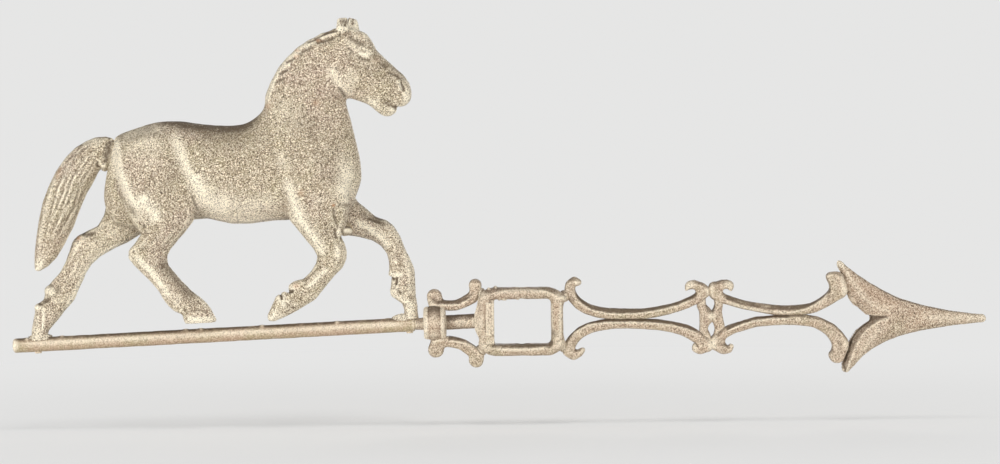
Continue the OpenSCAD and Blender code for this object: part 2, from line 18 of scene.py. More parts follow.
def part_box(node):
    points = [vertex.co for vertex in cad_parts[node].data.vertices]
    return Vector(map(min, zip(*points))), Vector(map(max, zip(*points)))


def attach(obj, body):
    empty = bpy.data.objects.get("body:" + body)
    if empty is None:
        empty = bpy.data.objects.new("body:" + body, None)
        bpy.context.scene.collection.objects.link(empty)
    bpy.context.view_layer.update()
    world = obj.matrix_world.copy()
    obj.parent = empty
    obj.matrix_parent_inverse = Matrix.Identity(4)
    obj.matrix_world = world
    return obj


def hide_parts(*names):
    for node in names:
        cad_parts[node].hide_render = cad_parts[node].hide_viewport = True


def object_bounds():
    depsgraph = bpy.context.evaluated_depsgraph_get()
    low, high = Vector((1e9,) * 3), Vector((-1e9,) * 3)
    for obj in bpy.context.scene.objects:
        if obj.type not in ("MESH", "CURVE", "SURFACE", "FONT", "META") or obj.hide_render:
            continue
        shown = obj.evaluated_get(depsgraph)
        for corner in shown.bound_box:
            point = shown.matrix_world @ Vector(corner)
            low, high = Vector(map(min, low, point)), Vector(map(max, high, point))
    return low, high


bl_info = {
    "name": "Horse weathervane looks",
    "version": (1, 0, 0),
    "blender": (4, 5, 0),
    "location": "3D View > Sidebar > Weathervane",
    "description": "Builds the castings, finishes and stage of a horse weathervane",
    "category": "Object",
}

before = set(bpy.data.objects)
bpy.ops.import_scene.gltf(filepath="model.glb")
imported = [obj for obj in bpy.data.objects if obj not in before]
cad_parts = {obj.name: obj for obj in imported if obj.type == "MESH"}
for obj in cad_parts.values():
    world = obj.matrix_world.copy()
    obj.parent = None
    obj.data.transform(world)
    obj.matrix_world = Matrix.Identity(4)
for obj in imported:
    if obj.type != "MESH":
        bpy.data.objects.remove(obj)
cad_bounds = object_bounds()

MM = 0.001
BODY = "root"
PICTURE_MIDDLE = (500, 232)
PIXEL = 0.6 * MM
PICTURE_WIDTH = 1000 * PIXEL
CAMERA_TARGET = Vector((-12.25 * MM, 0, 53.67 * MM))
CAMERA_ROLL = math.radians(0.7)
SENSOR = 36 * MM
SAME_POINT = 1e-6
BACKDROP = (0.79, 0.79, 0.785, 1)


# Settings


class CastingSettings(bpy.types.PropertyGroup):
    horse_grid: FloatProperty(
        name="Horse grid", description="Size of the horse's mesh faces",
        default=0.65 * MM, min=0.5 * MM, max=1.5 * MM, unit="LENGTH", precision=5,
    )
    arrow_grid: FloatProperty(
        name="Arrow grid", description="Size of the arrow's mesh faces",
        default=0.45 * MM, min=0.3 * MM, max=1.5 * MM, unit="LENGTH", precision=5,
    )
    solder_grid: FloatProperty(
        name="Solder grid", description="Size of the mesh faces of solder and braze",
        default=0.3 * MM, min=0.2 * MM, max=1 * MM, unit="LENGTH", precision=5,
    )
    relief: FloatProperty(
        name="Relief", description="Depth of the sculpted strokes, as a share of the full depth",
        default=1, min=0, max=2, subtype="FACTOR",
    )
    body_smoothing: IntProperty(
        name="Body smoothing", description="Rounds of smoothing on the horse's body",
        default=140, min=0, max=300,
    )


class FinishSettings(bpy.types.PropertyGroup):
    sand: FloatVectorProperty(
        name="Sand", description="Main colour of the horse's weathered coat",
        default=(0.38, 0.292, 0.19), min=0, max=1, subtype="COLOR",
    )
    # Cream also paints the highlights
    cream: FloatVectorProperty(
        name="Cream", description="Rubbed high spots of the coat",
        default=(0.93, 0.84, 0.66), min=0, max=1, subtype="COLOR",
    )
    pore: FloatVectorProperty(
        name="Pore", description="Dirt in the pores of the casting",
        default=(0.085, 0.055, 0.03), min=0, max=1, subtype="COLOR",
    )
    # Grime also paints shade on upward faces, in creases and along the bars
    grime_and_shade: FloatVectorProperty(
        name="Grime and shade", description="Brown grime in grooves and on faces that catch the rain",
        default=(0.085, 0.055, 0.03), min=0, max=1, subtype="COLOR",
    )
    rust: FloatVectorProperty(
        name="Rust", description="Orange rust stain",
        default=(0.42, 0.17, 0.06), min=0, max=1, subtype="COLOR",
    )
    blush: FloatVectorProperty(
        name="Blush", description="Pinkish tint of the coat",
        default=(0.40, 0.288, 0.208), min=0, max=1, subtype="COLOR",
    )
    olive: FloatVectorProperty(
        name="Olive", description="Yellowish tint of the coat",
        default=(0.38, 0.305, 0.178), min=0, max=1, subtype="COLOR",
    )
    tan: FloatVectorProperty(
        name="Tan", description="Main colour of the arrow's and bar's weathered coat",
        default=(0.45, 0.32, 0.218), min=0, max=1, subtype="COLOR",
    )


class StageSettings(bpy.types.PropertyGroup):
    camera_distance: FloatProperty(
        name="Camera distance", description="From the vane's middle plane to the camera",
        default=1.2, min=0.4, max=4, unit="LENGTH",
    )
    floor_height: FloatProperty(
        name="Floor height", description="Height of the floor under the rod's middle",
        default=-0.062, min=-2, max=-0.05, unit="LENGTH",
    )
    lamp_power: FloatProperty(
        name="Lamp power", description="Power that each soft lamp takes its share of",
        default=26, min=0, max=200, unit="POWER",
    )
    room_light: FloatProperty(
        name="Room light", description="Strength of the even light from all round",
        default=0.25, min=0, max=2,
    )
    floor_colour: FloatVectorProperty(
        name="Floor colour", description="Colour of the floor",
        default=(0.90, 0.895, 0.88), min=0, max=1, subtype="COLOR",
    )


class WeathervaneSettings(bpy.types.PropertyGroup):
    casting: PointerProperty(name="Castings", description="Meshes", type=CastingSettings)
    finish: PointerProperty(name="Finish", description="Colours", type=FinishSettings)
    stage: PointerProperty(name="Stage", description="Camera and light", type=StageSettings)


def settings():
    return bpy.context.scene.weathervane


# Meshes


def add_object(name, data):
    """Adds a mesh, a lamp or a camera to the scene."""
    made = bpy.data.objects.new(name, data)
    bpy.context.scene.collection.objects.link(made)
    return made


def object_from(shape, name):
    """Turns a shape under work into an object."""
    mesh = bpy.data.meshes.new(name)
    shape.to_mesh(mesh)
    shape.free()
    return add_object(name, mesh)


def baked(piece):
    """Replaces a piece's mesh by what its modifiers make of it."""
    depsgraph = bpy.context.evaluated_depsgraph_get()
    mesh = bpy.data.meshes.new_from_object(piece.evaluated_get(depsgraph))
    old = piece.data
    piece.modifiers.clear()
    piece.data = mesh
    mesh.name = piece.name
    bpy.data.meshes.remove(old)
    return piece


def fine_copy(name, nodes, grid):
    """One object with a fine even mesh over copies of the CAD nodes."""
    shape = bmesh.new()
    for node in nodes:
        shape.from_mesh(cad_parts[node].data)
    bmesh.ops.remove_doubles(shape, verts=shape.verts, dist=SAME_POINT)
    piece = object_from(shape, name)
    remesh = piece.modifiers.new("grid", "REMESH")
    remesh.mode = "VOXEL"
    remesh.voxel_size = grid
    remesh.use_smooth_shade = True
    return baked(piece)


def smooth(piece, rounds, weights=1.0):
    """Smooths a piece's mesh, by a weight at each point, and gives back the bulk that this takes."""
    mesh = piece.data
    before = places(mesh)
    after = neighbour_mean(mesh, before, rounds, weights)
    after += neighbour_mean(mesh, before - after, rounds, weights)
    put_places(mesh, after)


def lumpy(piece, size, height):
    """Uneven cast surface: lumps of a size and a height."""
    texture = bpy.data.textures.new(f"lumps {piece.name}", "CLOUDS")
    texture.noise_scale = size
    texture.noise_depth = 2
    modifier = piece.modifiers.new("lumps", "DISPLACE")
    modifier.texture = texture
    modifier.texture_coords = "LOCAL"
    modifier.mid_level = 0.5
    modifier.strength = height
    baked(piece)


def triples(items, key):
    """A value of three numbers for each point of a mesh."""
    found = np.empty(len(items) * 3, np.float32)
    items.foreach_get(key, found)
    return found.reshape(-1, 3).astype(float)


def places(mesh):
    return triples(mesh.vertices, "co")


def put_places(mesh, points):
    mesh.vertices.foreach_set("co", points.astype(np.float32).ravel())
    mesh.update()


def neighbour_mean(mesh, values, rounds, weights=1.0):
    """Moves values half-way to the mean of each point's neighbours, over and over."""
    edges = np.empty(len(mesh.edges) * 2, np.int32)
    mesh.edges.foreach_get("vertices", edges)
    first, second = edges[0::2], edges[1::2]
    count = len(values)
    degree = np.bincount(edges, minlength=count).astype(float)[:, None]
    pull = 0.5 * np.broadcast_to(weights, count)[:, None]
    for _ in range(rounds):
        total = np.zeros_like(values)
        for column in range(values.shape[1]):
            total[:, column] = np.bincount(first, values[second, column], count)
            total[:, column] += np.bincount(second, values[first, column], count)
        values = values + pull * (total / degree - values)
    return values


def smoothstep(low, high, x):
    t = np.clip((x - low) / (high - low), 0, 1)
    return t * t * (3 - 2 * t)


def in_picture(points, depth):
    """Pixels of the picture where points show, each seen at the given depth."""
    distance = settings().stage.camera_distance
    across = points[:, 0] - CAMERA_TARGET.x
    up = points[:, 2] - CAMERA_TARGET.z
    scale = distance / (distance + depth) / PIXEL
    cos, sin = math.cos(CAMERA_ROLL), math.sin(CAMERA_ROLL)
    px = PICTURE_MIDDLE[0] + (across * cos - up * sin) * scale
    py = PICTURE_MIDDLE[1] - (across * sin + up * cos) * scale
    return px, py


def line_distance(line, px, py):
    """Distance of each pixel from a line, its share of the way along, and its signed side."""
    best = np.full(len(px), np.inf)
    share = np.zeros(len(px))
    side = np.zeros(len(px))
    lengths = [math.dist(a, b) for a, b in zip(line, line[1:])]
    whole = sum(lengths)
    run = 0
    for (a, b), length in zip(zip(line, line[1:]), lengths):
        dx, dy = (b[0] - a[0]) / length, (b[1] - a[1]) / length
        along = np.clip((px - a[0]) * dx + (py - a[1]) * dy, 0, length)
        off_x, off_y = px - a[0] - along * dx, py - a[1] - along * dy
        away = np.hypot(off_x, off_y)
        closer = away < best
        best = np.where(closer, away, best)
        share = np.where(closer, (run + along) / whole, share)
        side = np.where(closer, np.sign(dx * off_y - dy * off_x), side)
        run += length
    return best, share, side


def hand_of(line, pixel):
    """Side of a line that one pixel is on."""
    return line_distance(line, np.array([pixel[0]]), np.array([pixel[1]]))[2][0]


def soft_ends(share, ends):
    """1 along a line, falling to 0 over a share of it at each end."""
    return smoothstep(0, ends, share) * smoothstep(0, ends, 1 - share) if ends else 1


class Sculptor:
    """Moves the points of a mesh along their normals, and marks them with wear, grime, rust, painted highlights and
    painted shade.

    A stroke reaches one side: near, far, both, near_leg, far_leg, or through for every point.
    """

    # Grime also holds painted shade, and wear also holds painted highlights
    MARKS = ("grime_and_shade", "wear_and_highlight", "rust")
    # A point is reached in full once its normal leans this far towards the side
    LEAN = 0.3
    LEG_LEAN = 0.2
    # Strokes on the near leg stay in front of one depth, and those on the far leg behind the other
    NEAR_LEG_DEPTH = -3 * MM
    FAR_LEG_DEPTH = -5 * MM
    # Rounds of smoothing that tell ridges from hollows
    RELIEF_ROUNDS = 14

    def __init__(self, piece):
        self.piece = piece
        self.marks = {mark: np.zeros(len(piece.data.vertices)) for mark in self.MARKS}
        self.side = "near"
        self.read()

    def read(self):
        self.points = places(self.piece.data)
        self.normals = triples(self.piece.data.vertex_normals, "vector")

    def write(self):
        put_places(self.piece.data, self.points)
        self.read()

    def seen(self, side=None):
        """Pixels of each point and how much a stroke on that side reaches it."""
        side = side or self.side
        depth, facing = self.points[:, 1], self.normals[:, 1]
        if side == "through":
            reach = np.ones(len(depth))
        elif side == "near_leg":
            reach = smoothstep(0, self.LEG_LEAN, np.abs(facing)) * (depth < self.NEAR_LEG_DEPTH)
        elif side == "far_leg":
            reach = smoothstep(0, self.LEG_LEAN, np.abs(facing)) * (depth > self.FAR_LEG_DEPTH)
        else:
            lean = {"near": -facing, "far": facing, "both": np.abs(facing)}[side]
            reach = smoothstep(0, self.LEAN, lean)
            depth = depth if side == "near" else -np.abs(depth)
        return *in_picture(self.points, depth), reach

    def stroke(self, line, width, height, side=None, grime_and_shade=0.0, wear_and_highlight=0.0, rust=0.0, ends=0.2):
        """Groove (a height below zero) or ridge along a line, width in pixels, height in mm."""
        px, py, reach = self.seen(side)
        away, share, _ = line_distance(line, px, py)
        weight = np.exp(-((away / width) ** 2)) * soft_ends(share, ends) * reach
        self.move(weight, height)
        self.mark(weight, grime_and_shade, wear_and_highlight, rust)

    def step(self, line, toward, fade, height, side, edge, ends):
        """Swelling that rises across a line, on the side of the pixel toward, and fades out there."""
        px, py, reach = self.seen(side)
        away, share, hand = line_distance(line, px, py)
        signed = away * hand * hand_of(line, toward)
        rise = smoothstep(-edge, edge, signed) * np.exp(-((np.maximum(signed, 0) / fade) ** 2))
        self.move(rise * soft_ends(share, ends) * reach, height)

    def swell(self, height):
        """Thickens the whole piece by a height in mm on every side."""
        self.points += self.normals * height * MM

    def spot(self, middle, size, height, side=None, turn=0, grime_and_shade=0.0, wear_and_highlight=0.0, rust=0.0):
        """Soft dome or dent: middle and half sizes in pixels, turn in degrees."""
        px, py, reach = self.seen(side)
        dx, dy = px - middle[0], py - middle[1]
        cos, sin = math.cos(math.radians(turn)), math.sin(math.radians(turn))
        along, across = (dx * cos + dy * sin) / size[0], (dy * cos - dx * sin) / size[1]
        weight = np.exp(-(along ** 2 + across ** 2)) * reach
        self.move(weight, height)
        self.mark(weight, grime_and_shade, wear_and_highlight, rust)

    def move(self, weight, height):
        amount = weight * height * MM * settings().casting.relief
        self.points += self.normals * amount[:, None]

    def mark(self, weight, grime_and_shade, wear_and_highlight, rust):
        for name, amount in zip(self.MARKS, (grime_and_shade, wear_and_highlight, rust)):
            if amount:
                self.marks[name] = np.maximum(self.marks[name], weight * amount)

    def squeeze(self, limit):
        """Narrows the shape a little where it would stand out further than the limit."""
        widest = np.abs(self.points[:, 1]).max()
        self.points[:, 1] *= min(1, limit / widest)

    def finish(self, scale, dirt_and_shade):
        """Writes the shape, adds wear on ridges and dirt with painted shade in hollows, and keeps the marks.

        Ridges as high as the scale in mm are worn in full, and hollows as deep take the share of dirt and painted
        shade.
        """
        self.points = np.clip(self.points, *cad_bounds)
        self.write()
        mesh = self.piece.data
        height = ((self.points - neighbour_mean(mesh, self.points, self.RELIEF_ROUNDS)) * self.normals).sum(axis=1)
        bent = (height - np.median(height)) / (scale * MM)
        self.marks["wear_and_highlight"] = np.clip(self.marks["wear_and_highlight"] + np.clip(bent, 0, 1), 0, 1)
        self.marks["grime_and_shade"] = np.clip(self.marks["grime_and_shade"] + dirt_and_shade * np.clip(-bent, 0, 1), 0, 1)
        for name, values in self.marks.items():
            layer = mesh.attributes.new(name, "FLOAT", "POINT")
            layer.data.foreach_set("value", values.astype(np.float32))
        mesh.polygons.foreach_set("use_smooth", [True] * len(mesh.polygons))


def place_piece(piece, material, slot, *nodes):
    """Gives a finished piece its material and its place on the vane."""
    piece.data.materials.clear()
    piece.data.materials.append(material)
    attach(piece, BODY)
    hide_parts(*nodes)


# Finishes


class Nodes:
    """Short way to write the nodes of a material or a world."""

    def __init__(self, owner):
        owner.use_nodes = True
        self.tree = owner.node_tree
        self.tree.nodes.clear()

    def add(self, kind, name, inputs=(), **values):
        node = self.tree.nodes.new(kind)
        node.label = name
        for key, value in values.items():
            setattr(node, key, value)
        for socket, value in dict(inputs).items():
            self.put(node, socket, value)
        return node

    def put(self, node, socket, value):
        if isinstance(value, bpy.types.NodeSocket):
            self.tree.links.new(value, node.inputs[socket])
        else:
            node.inputs[socket].default_value = value

    def maths(self, name, operation, first, second, third=0.0, clamp=False):
        inputs = {0: first, 1: second, 2: third}
        return self.add("ShaderNodeMath", name, inputs, operation=operation, use_clamp=clamp).outputs[0]

    def ramp(self, name, value, low, high):
        """Share from 0 at low to 1 at high."""
        inputs = {"Value": value, "From Min": low, "From Max": high}
        return self.add("ShaderNodeMapRange", name, inputs, interpolation_type="SMOOTHSTEP").outputs[0]

    def blend(self, name, share, first, second):
        node = self.add("ShaderNodeMix", name, {0: share}, data_type="RGBA")
        for socket, colour in ((6, first), (7, second)):
            self.put(node, socket, colour if isinstance(colour, bpy.types.NodeSocket) else (*colour, 1))
        return node.outputs[2]

    def noise(self, name, where, scale, detail, roughness, distortion=0.0):
        node = self.add("ShaderNodeTexNoise", name, {
            "Vector": where, "Scale": scale, "Detail": detail,
            "Roughness": roughness, "Distortion": distortion,
        })
        return node.outputs[0]

    def attribute(self, name):
        node = self.add("ShaderNodeAttribute", name, attribute_name=name)
        return node.outputs["Fac"]


def casting_material(name, coat_colour, tints, cream, scale, grain, rain_and_top_shade, rain_and_shade_faces, edge_light):
    """Old sand casting: pebbled skin, dirty pores, rubbed high spots with painted highlights, and brown grime with
    painted shade.
    """
    finish = settings().finish
    pore, grime_and_shade, rust = tuple(finish.pore), tuple(finish.grime_and_shade), tuple(finish.rust)
    material = bpy.data.materials.new(name)
    n = Nodes(material)
    where = n.add("ShaderNodeTexCoord", "place").outputs["Object"]
    facing = n.add("ShaderNodeTexCoord", "facing").outputs["Normal"]
    upward = n.add("ShaderNodeSeparateXYZ", "upward", {0: facing}).outputs["Z"]
    wear_and_highlight, stain = n.attribute("wear_and_highlight"), n.attribute("rust")

    # Noises: waves to a metre, detail, roughness and distortion
    worms = n.noise("wormy skin", where, scale, 2.0, 0.65, 0.6)
    fine = n.noise("fine sand", where, 2 * scale, 1.0, 0.5)
    patches = n.noise("broad patches", where, 22, 3.0, 0.55)
    streaks = n.noise("smaller patches", where, 85, 4.0, 0.6)
    blots = n.noise("blots", where, 260, 3.0, 0.6)

    # Coat: two tints under the main colour, cream where rubbed and where highlights are painted
    coat = n.blend("tinted coat", n.ramp("tint share", patches, 0.42, 0.60), *tints)
    coat = n.blend("coat", n.ramp("coat share", streaks, 0.35, 0.65), coat, coat_colour)
    worn_and_lit = n.maths("worn share", "MULTIPLY", wear_and_highlight, 0.95)
    coat = n.blend("worn coat", worn_and_lit, coat, cream)
    # Painted highlight: a cream band on faces a little less upward than those with painted shade, by the share
    # edge_light
    start = rain_and_shade_faces[0]
    rim = n.maths("rim share", "MULTIPLY", n.ramp("above face", upward, start - 0.3, start - 0.05), edge_light)
    rim = n.maths("rim", "MULTIPLY", rim, n.ramp("below rain", upward, start + 0.1, start - 0.05))
    coat = n.blend("rimmed coat", rim, coat, cream)
    high = n.ramp("high grains", worms, 0.50, 0.62)
    coat = n.blend("rubbed coat", n.maths("rubbed grains", "MULTIPLY", high, 0.95 * grain, clamp=True), coat, cream)

    # Dirt and painted shade: dirt in the pores, painted shade with rain dirt on upward faces, and grime with painted
    # shade from the marks
    low = n.ramp("low grains", worms, 0.485, 0.385)
    less = n.maths("clean where worn", "MULTIPLY_ADD", worn_and_lit, -0.2 * grain, grain)
    coat = n.blend("pored coat", n.maths("pore share", "MULTIPLY", low, less, clamp=True), coat, pore)
    rained_and_shaded = n.maths("rain share", "MULTIPLY", n.ramp("rain faces", upward, *rain_and_shade_faces), rain_and_top_shade)
    rained_and_shaded = n.maths("patchy rain", "MULTIPLY", rained_and_shaded, n.ramp("rain patches", blots, 0.15, 0.55))
    dry = n.maths("washed where worn", "MULTIPLY_ADD", wear_and_highlight, -0.85, 1.0)
    rained_and_shaded = n.maths("rain left", "MULTIPLY", rained_and_shaded, dry)
    darkening = n.maths("dirt_and_shade", "ADD", n.maths("groove dirt", "MULTIPLY", n.attribute("grime_and_shade"), 0.8), rained_and_shaded)
    coat = n.blend("grimy coat", n.maths("dirt share", "MINIMUM", darkening, 0.88), coat, grime_and_shade)
    coat = n.blend("rusty coat", n.maths("rust share", "MULTIPLY", stain, 0.8), coat, rust)

    rough = n.maths("roughness", "MULTIPLY_ADD", high, -0.15, 0.62)
    skin = n.maths("skin height", "MULTIPLY_ADD", fine, 0.2, worms)
    bump = n.add("ShaderNodeBump", "pebbled skin", {
        "Height": skin, "Strength": 1.0, "Distance": 0.6 * MM * grain,
    }).outputs[0]
    shader = n.add("ShaderNodeBsdfPrincipled", name, {
        "Base Color": coat, "Roughness": rough, "Metallic": 0.1, "Normal": bump,
    })
    n.add("ShaderNodeOutputMaterial", "surface", {"Surface": shader.outputs[0]})
    return material


FINISHES = {}


def finish_for(name):
    """Materials by name, each made once."""
    if name not in FINISHES:
        f = settings().finish
        sand, blush, olive, cream, tan = (tuple(c) for c in (f.sand, f.blush, f.olive, f.cream, f.tan))
        pink = tuple(0.5 * (a + b) for a, b in zip(tan, blush))
        straw = tuple(0.75 * a + 0.25 * b for a, b in zip(cream, tan))
        # Coat, its tints, its rubbed and highlight colour, grains to a metre, depth of the grain, share of painted
        # shade with rain dirt on upward faces, how far up faces look that take it, and the painted light along its
        # edge
        looks = {
            "horse casting": (sand, (blush, olive), cream, 1450, 1.0, 0.9, (0.45, 0.95), 0.0),
            "arrow casting": (tan, (pink, olive), straw, 1500, 0.8, 0.75, (0.12, 0.42), 0.3),
            "arrowhead casting": (tan, (pink, sand), straw, 1450, 0.85, 0.6, (0.5, 0.95), 0.0),
            "bar": (tan, (olive, tan), straw, 1300, 0.45, 0.95, (0.4, 0.85), 0.3),
            "rivet": (tan, (olive, sand), cream, 1500, 0.5, 0.5, (0.4, 0.9), 0.0),
        }
        FINISHES[name] = casting_material(name, *looks[name])
    return FINISHES[name]


# Horse

# Far hooves, which reach over the middle plane: the x where each starts, and the z that it stays below
FAR_HIND_FOOT = (-243 * MM, 45 * MM)
FAR_FORE_FOOT = (-94.5 * MM, 43 * MM)

# Rows of the picture where the horse goes from legs to body, and from ears to head
LEGS_TO_BODY = (226, 186)
EARS_TO_HEAD = (24, 33)
CHIN_ROW = 130
JAW = (326, 70)
JAW_FADE = 24
# Shares of the smoothing that the head is spared and that the ears get
HEAD_SPARED = 0.86
EARS_SMOOTHED = 0.12
# The ears in the picture: rows from the head to the free tips, columns that hold both, the outer edge of
# each and the column where they meet, and the share by which they widen
HEAD_TO_EARS = (34, 29)
EAR_COLUMNS = (330, 362)
NEAR_EAR_EDGE, EARS_MEET, FAR_EAR_EDGE = 337, 347.6, 358.4
EAR_SPREAD = 0.27
# Far side, where a leg leaves the body: a pixel, and the half sizes round it
FAR_SEAMS = (((324, 203), (20, 15)), ((172, 216), (32, 9)))


def in_far_foot(point):
    hind = point.x < FAR_HIND_FOOT[0] and point.z < FAR_HIND_FOOT[1]
    return hind or (point.x > FAR_FORE_FOOT[0] and point.z < FAR_FORE_FOOT[1])


def half_of(horse, name, side):
    """One half of the horse, cut along the middle plane, with its own legs whole."""
    shape = bmesh.new()
    shape.from_mesh(horse.data)
    feet = [v for v in shape.verts if in_far_foot(v.co)]
    if side < 0:
        bmesh.ops.delete(shape, geom=feet, context="VERTS")
        feet = []
    whole = set(feet)
    cut = [v for v in shape.verts if v not in whole]
    cut += [part for parts in (shape.edges, shape.faces) for part in parts if not whole.intersection(part.verts)]
    bmesh.ops.bisect_plane(
        shape, geom=cut, dist=0.1 * SAME_POINT, plane_co=(0, 0, 0), plane_no=(0, -side, 0), clear_outer=True,
    )
    open_edges = [e for e in shape.edges if e.is_boundary]
    bmesh.ops.triangle_fill(shape, edges=open_edges, normal=(0, -side, 0), use_beauty=True)
    bmesh.ops.recalc_face_normals(shape, faces=shape.faces)
    return object_from(shape, name)


def body_share(points):
    """1 on the body and the crest, less on the head, 0 on the legs and ears."""
    px, py = in_picture(points, np.zeros(len(points)))
    legs = smoothstep(*LEGS_TO_BODY, py)
    past_jaw = (px - JAW[0]) * 0.8 - (py - JAW[1]) * 0.35
    head = 1 - HEAD_SPARED * smoothstep(0, JAW_FADE, past_jaw) * (py < CHIN_ROW)
    ears = EARS_SMOOTHED + (1 - EARS_SMOOTHED) * smoothstep(*EARS_TO_HEAD, py)
    return np.clip(legs * head * ears, 0, 1)


def far_seams(points):
    """Share of smoothing on the far side where the legs leave the body."""
    px, py = in_picture(points, -points[:, 1])
    share = sum(np.exp(-(((px - x) / wide) ** 2) - ((py - y) / high) ** 2) for (x, y), (wide, high) in FAR_SEAMS)
    return np.clip(1.4 * share, 0, 1) * smoothstep(1 * MM, 4 * MM, points[:, 1])


def widen_ears(s):
    """The near ear reaches right and the far ear left, so that they meet over the forehead."""
    px, py, _ = s.seen("through")
    share = smoothstep(*HEAD_TO_EARS, py) * (px > EAR_COLUMNS[0]) * (px < EAR_COLUMNS[1])
    s.points[:, 0] += PIXEL * share * np.where(px < EARS_MEET, EAR_SPREAD * np.maximum(px - NEAR_EAR_EDGE, 0), 0)
    s.points[:, 0] -= PIXEL * share * np.where(px > EARS_MEET, EAR_SPREAD * np.maximum(FAR_EAR_EDGE - px, 0), 0)


def sculpt_head(s):
    s.side = "both"
    # Cheek, and the crease behind the jaw with painted shade, and a painted highlight along the jaw
    s.spot((357, 75), (17, 14), 0.9, turn=35)
    s.stroke([(331, 62), (333.5, 73), (338, 82), (346, 91), (356, 97)], 4.5, 0.3, wear_and_highlight=0.75)
    s.stroke([(337.5, 86), (342, 92), (347, 98.5)], 1.6, -0.5, grime_and_shade=0.55)
    # Brow, eye and lids, with painted highlights on the brow and eye and painted shadow under the eye and in the lid
    # lines
    s.stroke([(346, 40.5), (352, 46), (358, 50.5)], 5, 0.1)
    s.spot((356, 48), (12, 6.5), 0, turn=35, wear_and_highlight=0.45)
    s.stroke([(358, 46), (365, 50), (373, 56)], 3.2, 0.4, wear_and_highlight=0.3)
    s.spot((361.8, 54), (3.4, 2.2), 0.7, turn=30, wear_and_highlight=0.9)
    s.spot((367, 54.8), (2.3, 2.3), 0.5, wear_and_highlight=0.9)
    s.stroke([(357.5, 57), (361, 59.2), (366, 60), (372, 60.2)], 1.7, -0.35, grime_and_shade=0.45)
    s.stroke([(359, 52), (363, 50.8), (367.5, 52)], 1.1, -0.15, grime_and_shade=0.15)
    s.spot((359.4, 56.6), (2.2, 1.2), -0.2, turn=30, grime_and_shade=0.5)
    s.stroke([(348.8, 47), (350.6, 50.5), (353.6, 53)], 1.1, -0.3, grime_and_shade=0.6)
    s.spot((376, 60.4), (3.4, 2.6), 0.2, rust=0.2, wear_and_highlight=0.3)
    # Furrow inside the nose with painted shade, and the darker side of the face
    s.spot((383.5, 65.5), (6, 3.4), -0.3, turn=35, grime_and_shade=0.72)
    s.stroke([(386, 71.6), (391, 73), (396, 75.4), (402, 79.6)], 1.7, -0.4, grime_and_shade=0.65)
    s.spot((367, 68), (12, 5.5), 0, turn=20, grime_and_shade=0.24)
    s.spot((350, 57), (9, 4.5), 0, turn=30, grime_and_shade=0.24)
    s.spot((374, 74), (9, 6), -0.4, turn=30, grime_and_shade=0.18)
    s.spot((391, 79), (10, 7), 0, turn=35, grime_and_shade=0.24)
    s.stroke([(384, 64), (392, 69), (400, 76), (406, 84)], 4.5, 0, grime_and_shade=0.4)
    # Nostril: a painted highlight on the rim beside a slot with painted shade
    s.spot((399, 86), (6, 7.5), 0.6, turn=25)
    s.stroke([(399.6, 81), (402, 84.5), (403.6, 88.5), (403.6, 92.5)], 1.2, -0.7, grime_and_shade=0.75, ends=0.25)
    s.stroke([(396.6, 79.6), (399.2, 83.5), (400.4, 88), (400, 91.5)], 1.6, 0.6, wear_and_highlight=1.2)
    # Lips and chin, with painted shade in the lip lines and painted highlights on the chin and jaw
    s.stroke([(404, 108.6), (400, 109.4), (396.5, 108.6)], 1.6, -1.7, "through", grime_and_shade=0.3, ends=0.0)
    s.stroke([(399, 108), (393, 106.4), (385, 103.6)], 1.8, -0.5, grime_and_shade=0.5)
    s.spot((389, 102.5), (7, 3.4), -0.4, turn=18, grime_and_shade=0.42)
    s.spot((394.5, 111.5), (3, 3), 0.5, turn=10, wear_and_highlight=0.8)
    s.spot((406, 97), (4, 8), 0.3, wear_and_highlight=0.35)
    s.spot((372, 102), (8, 3.6), 0.2, turn=35, wear_and_highlight=0.85)


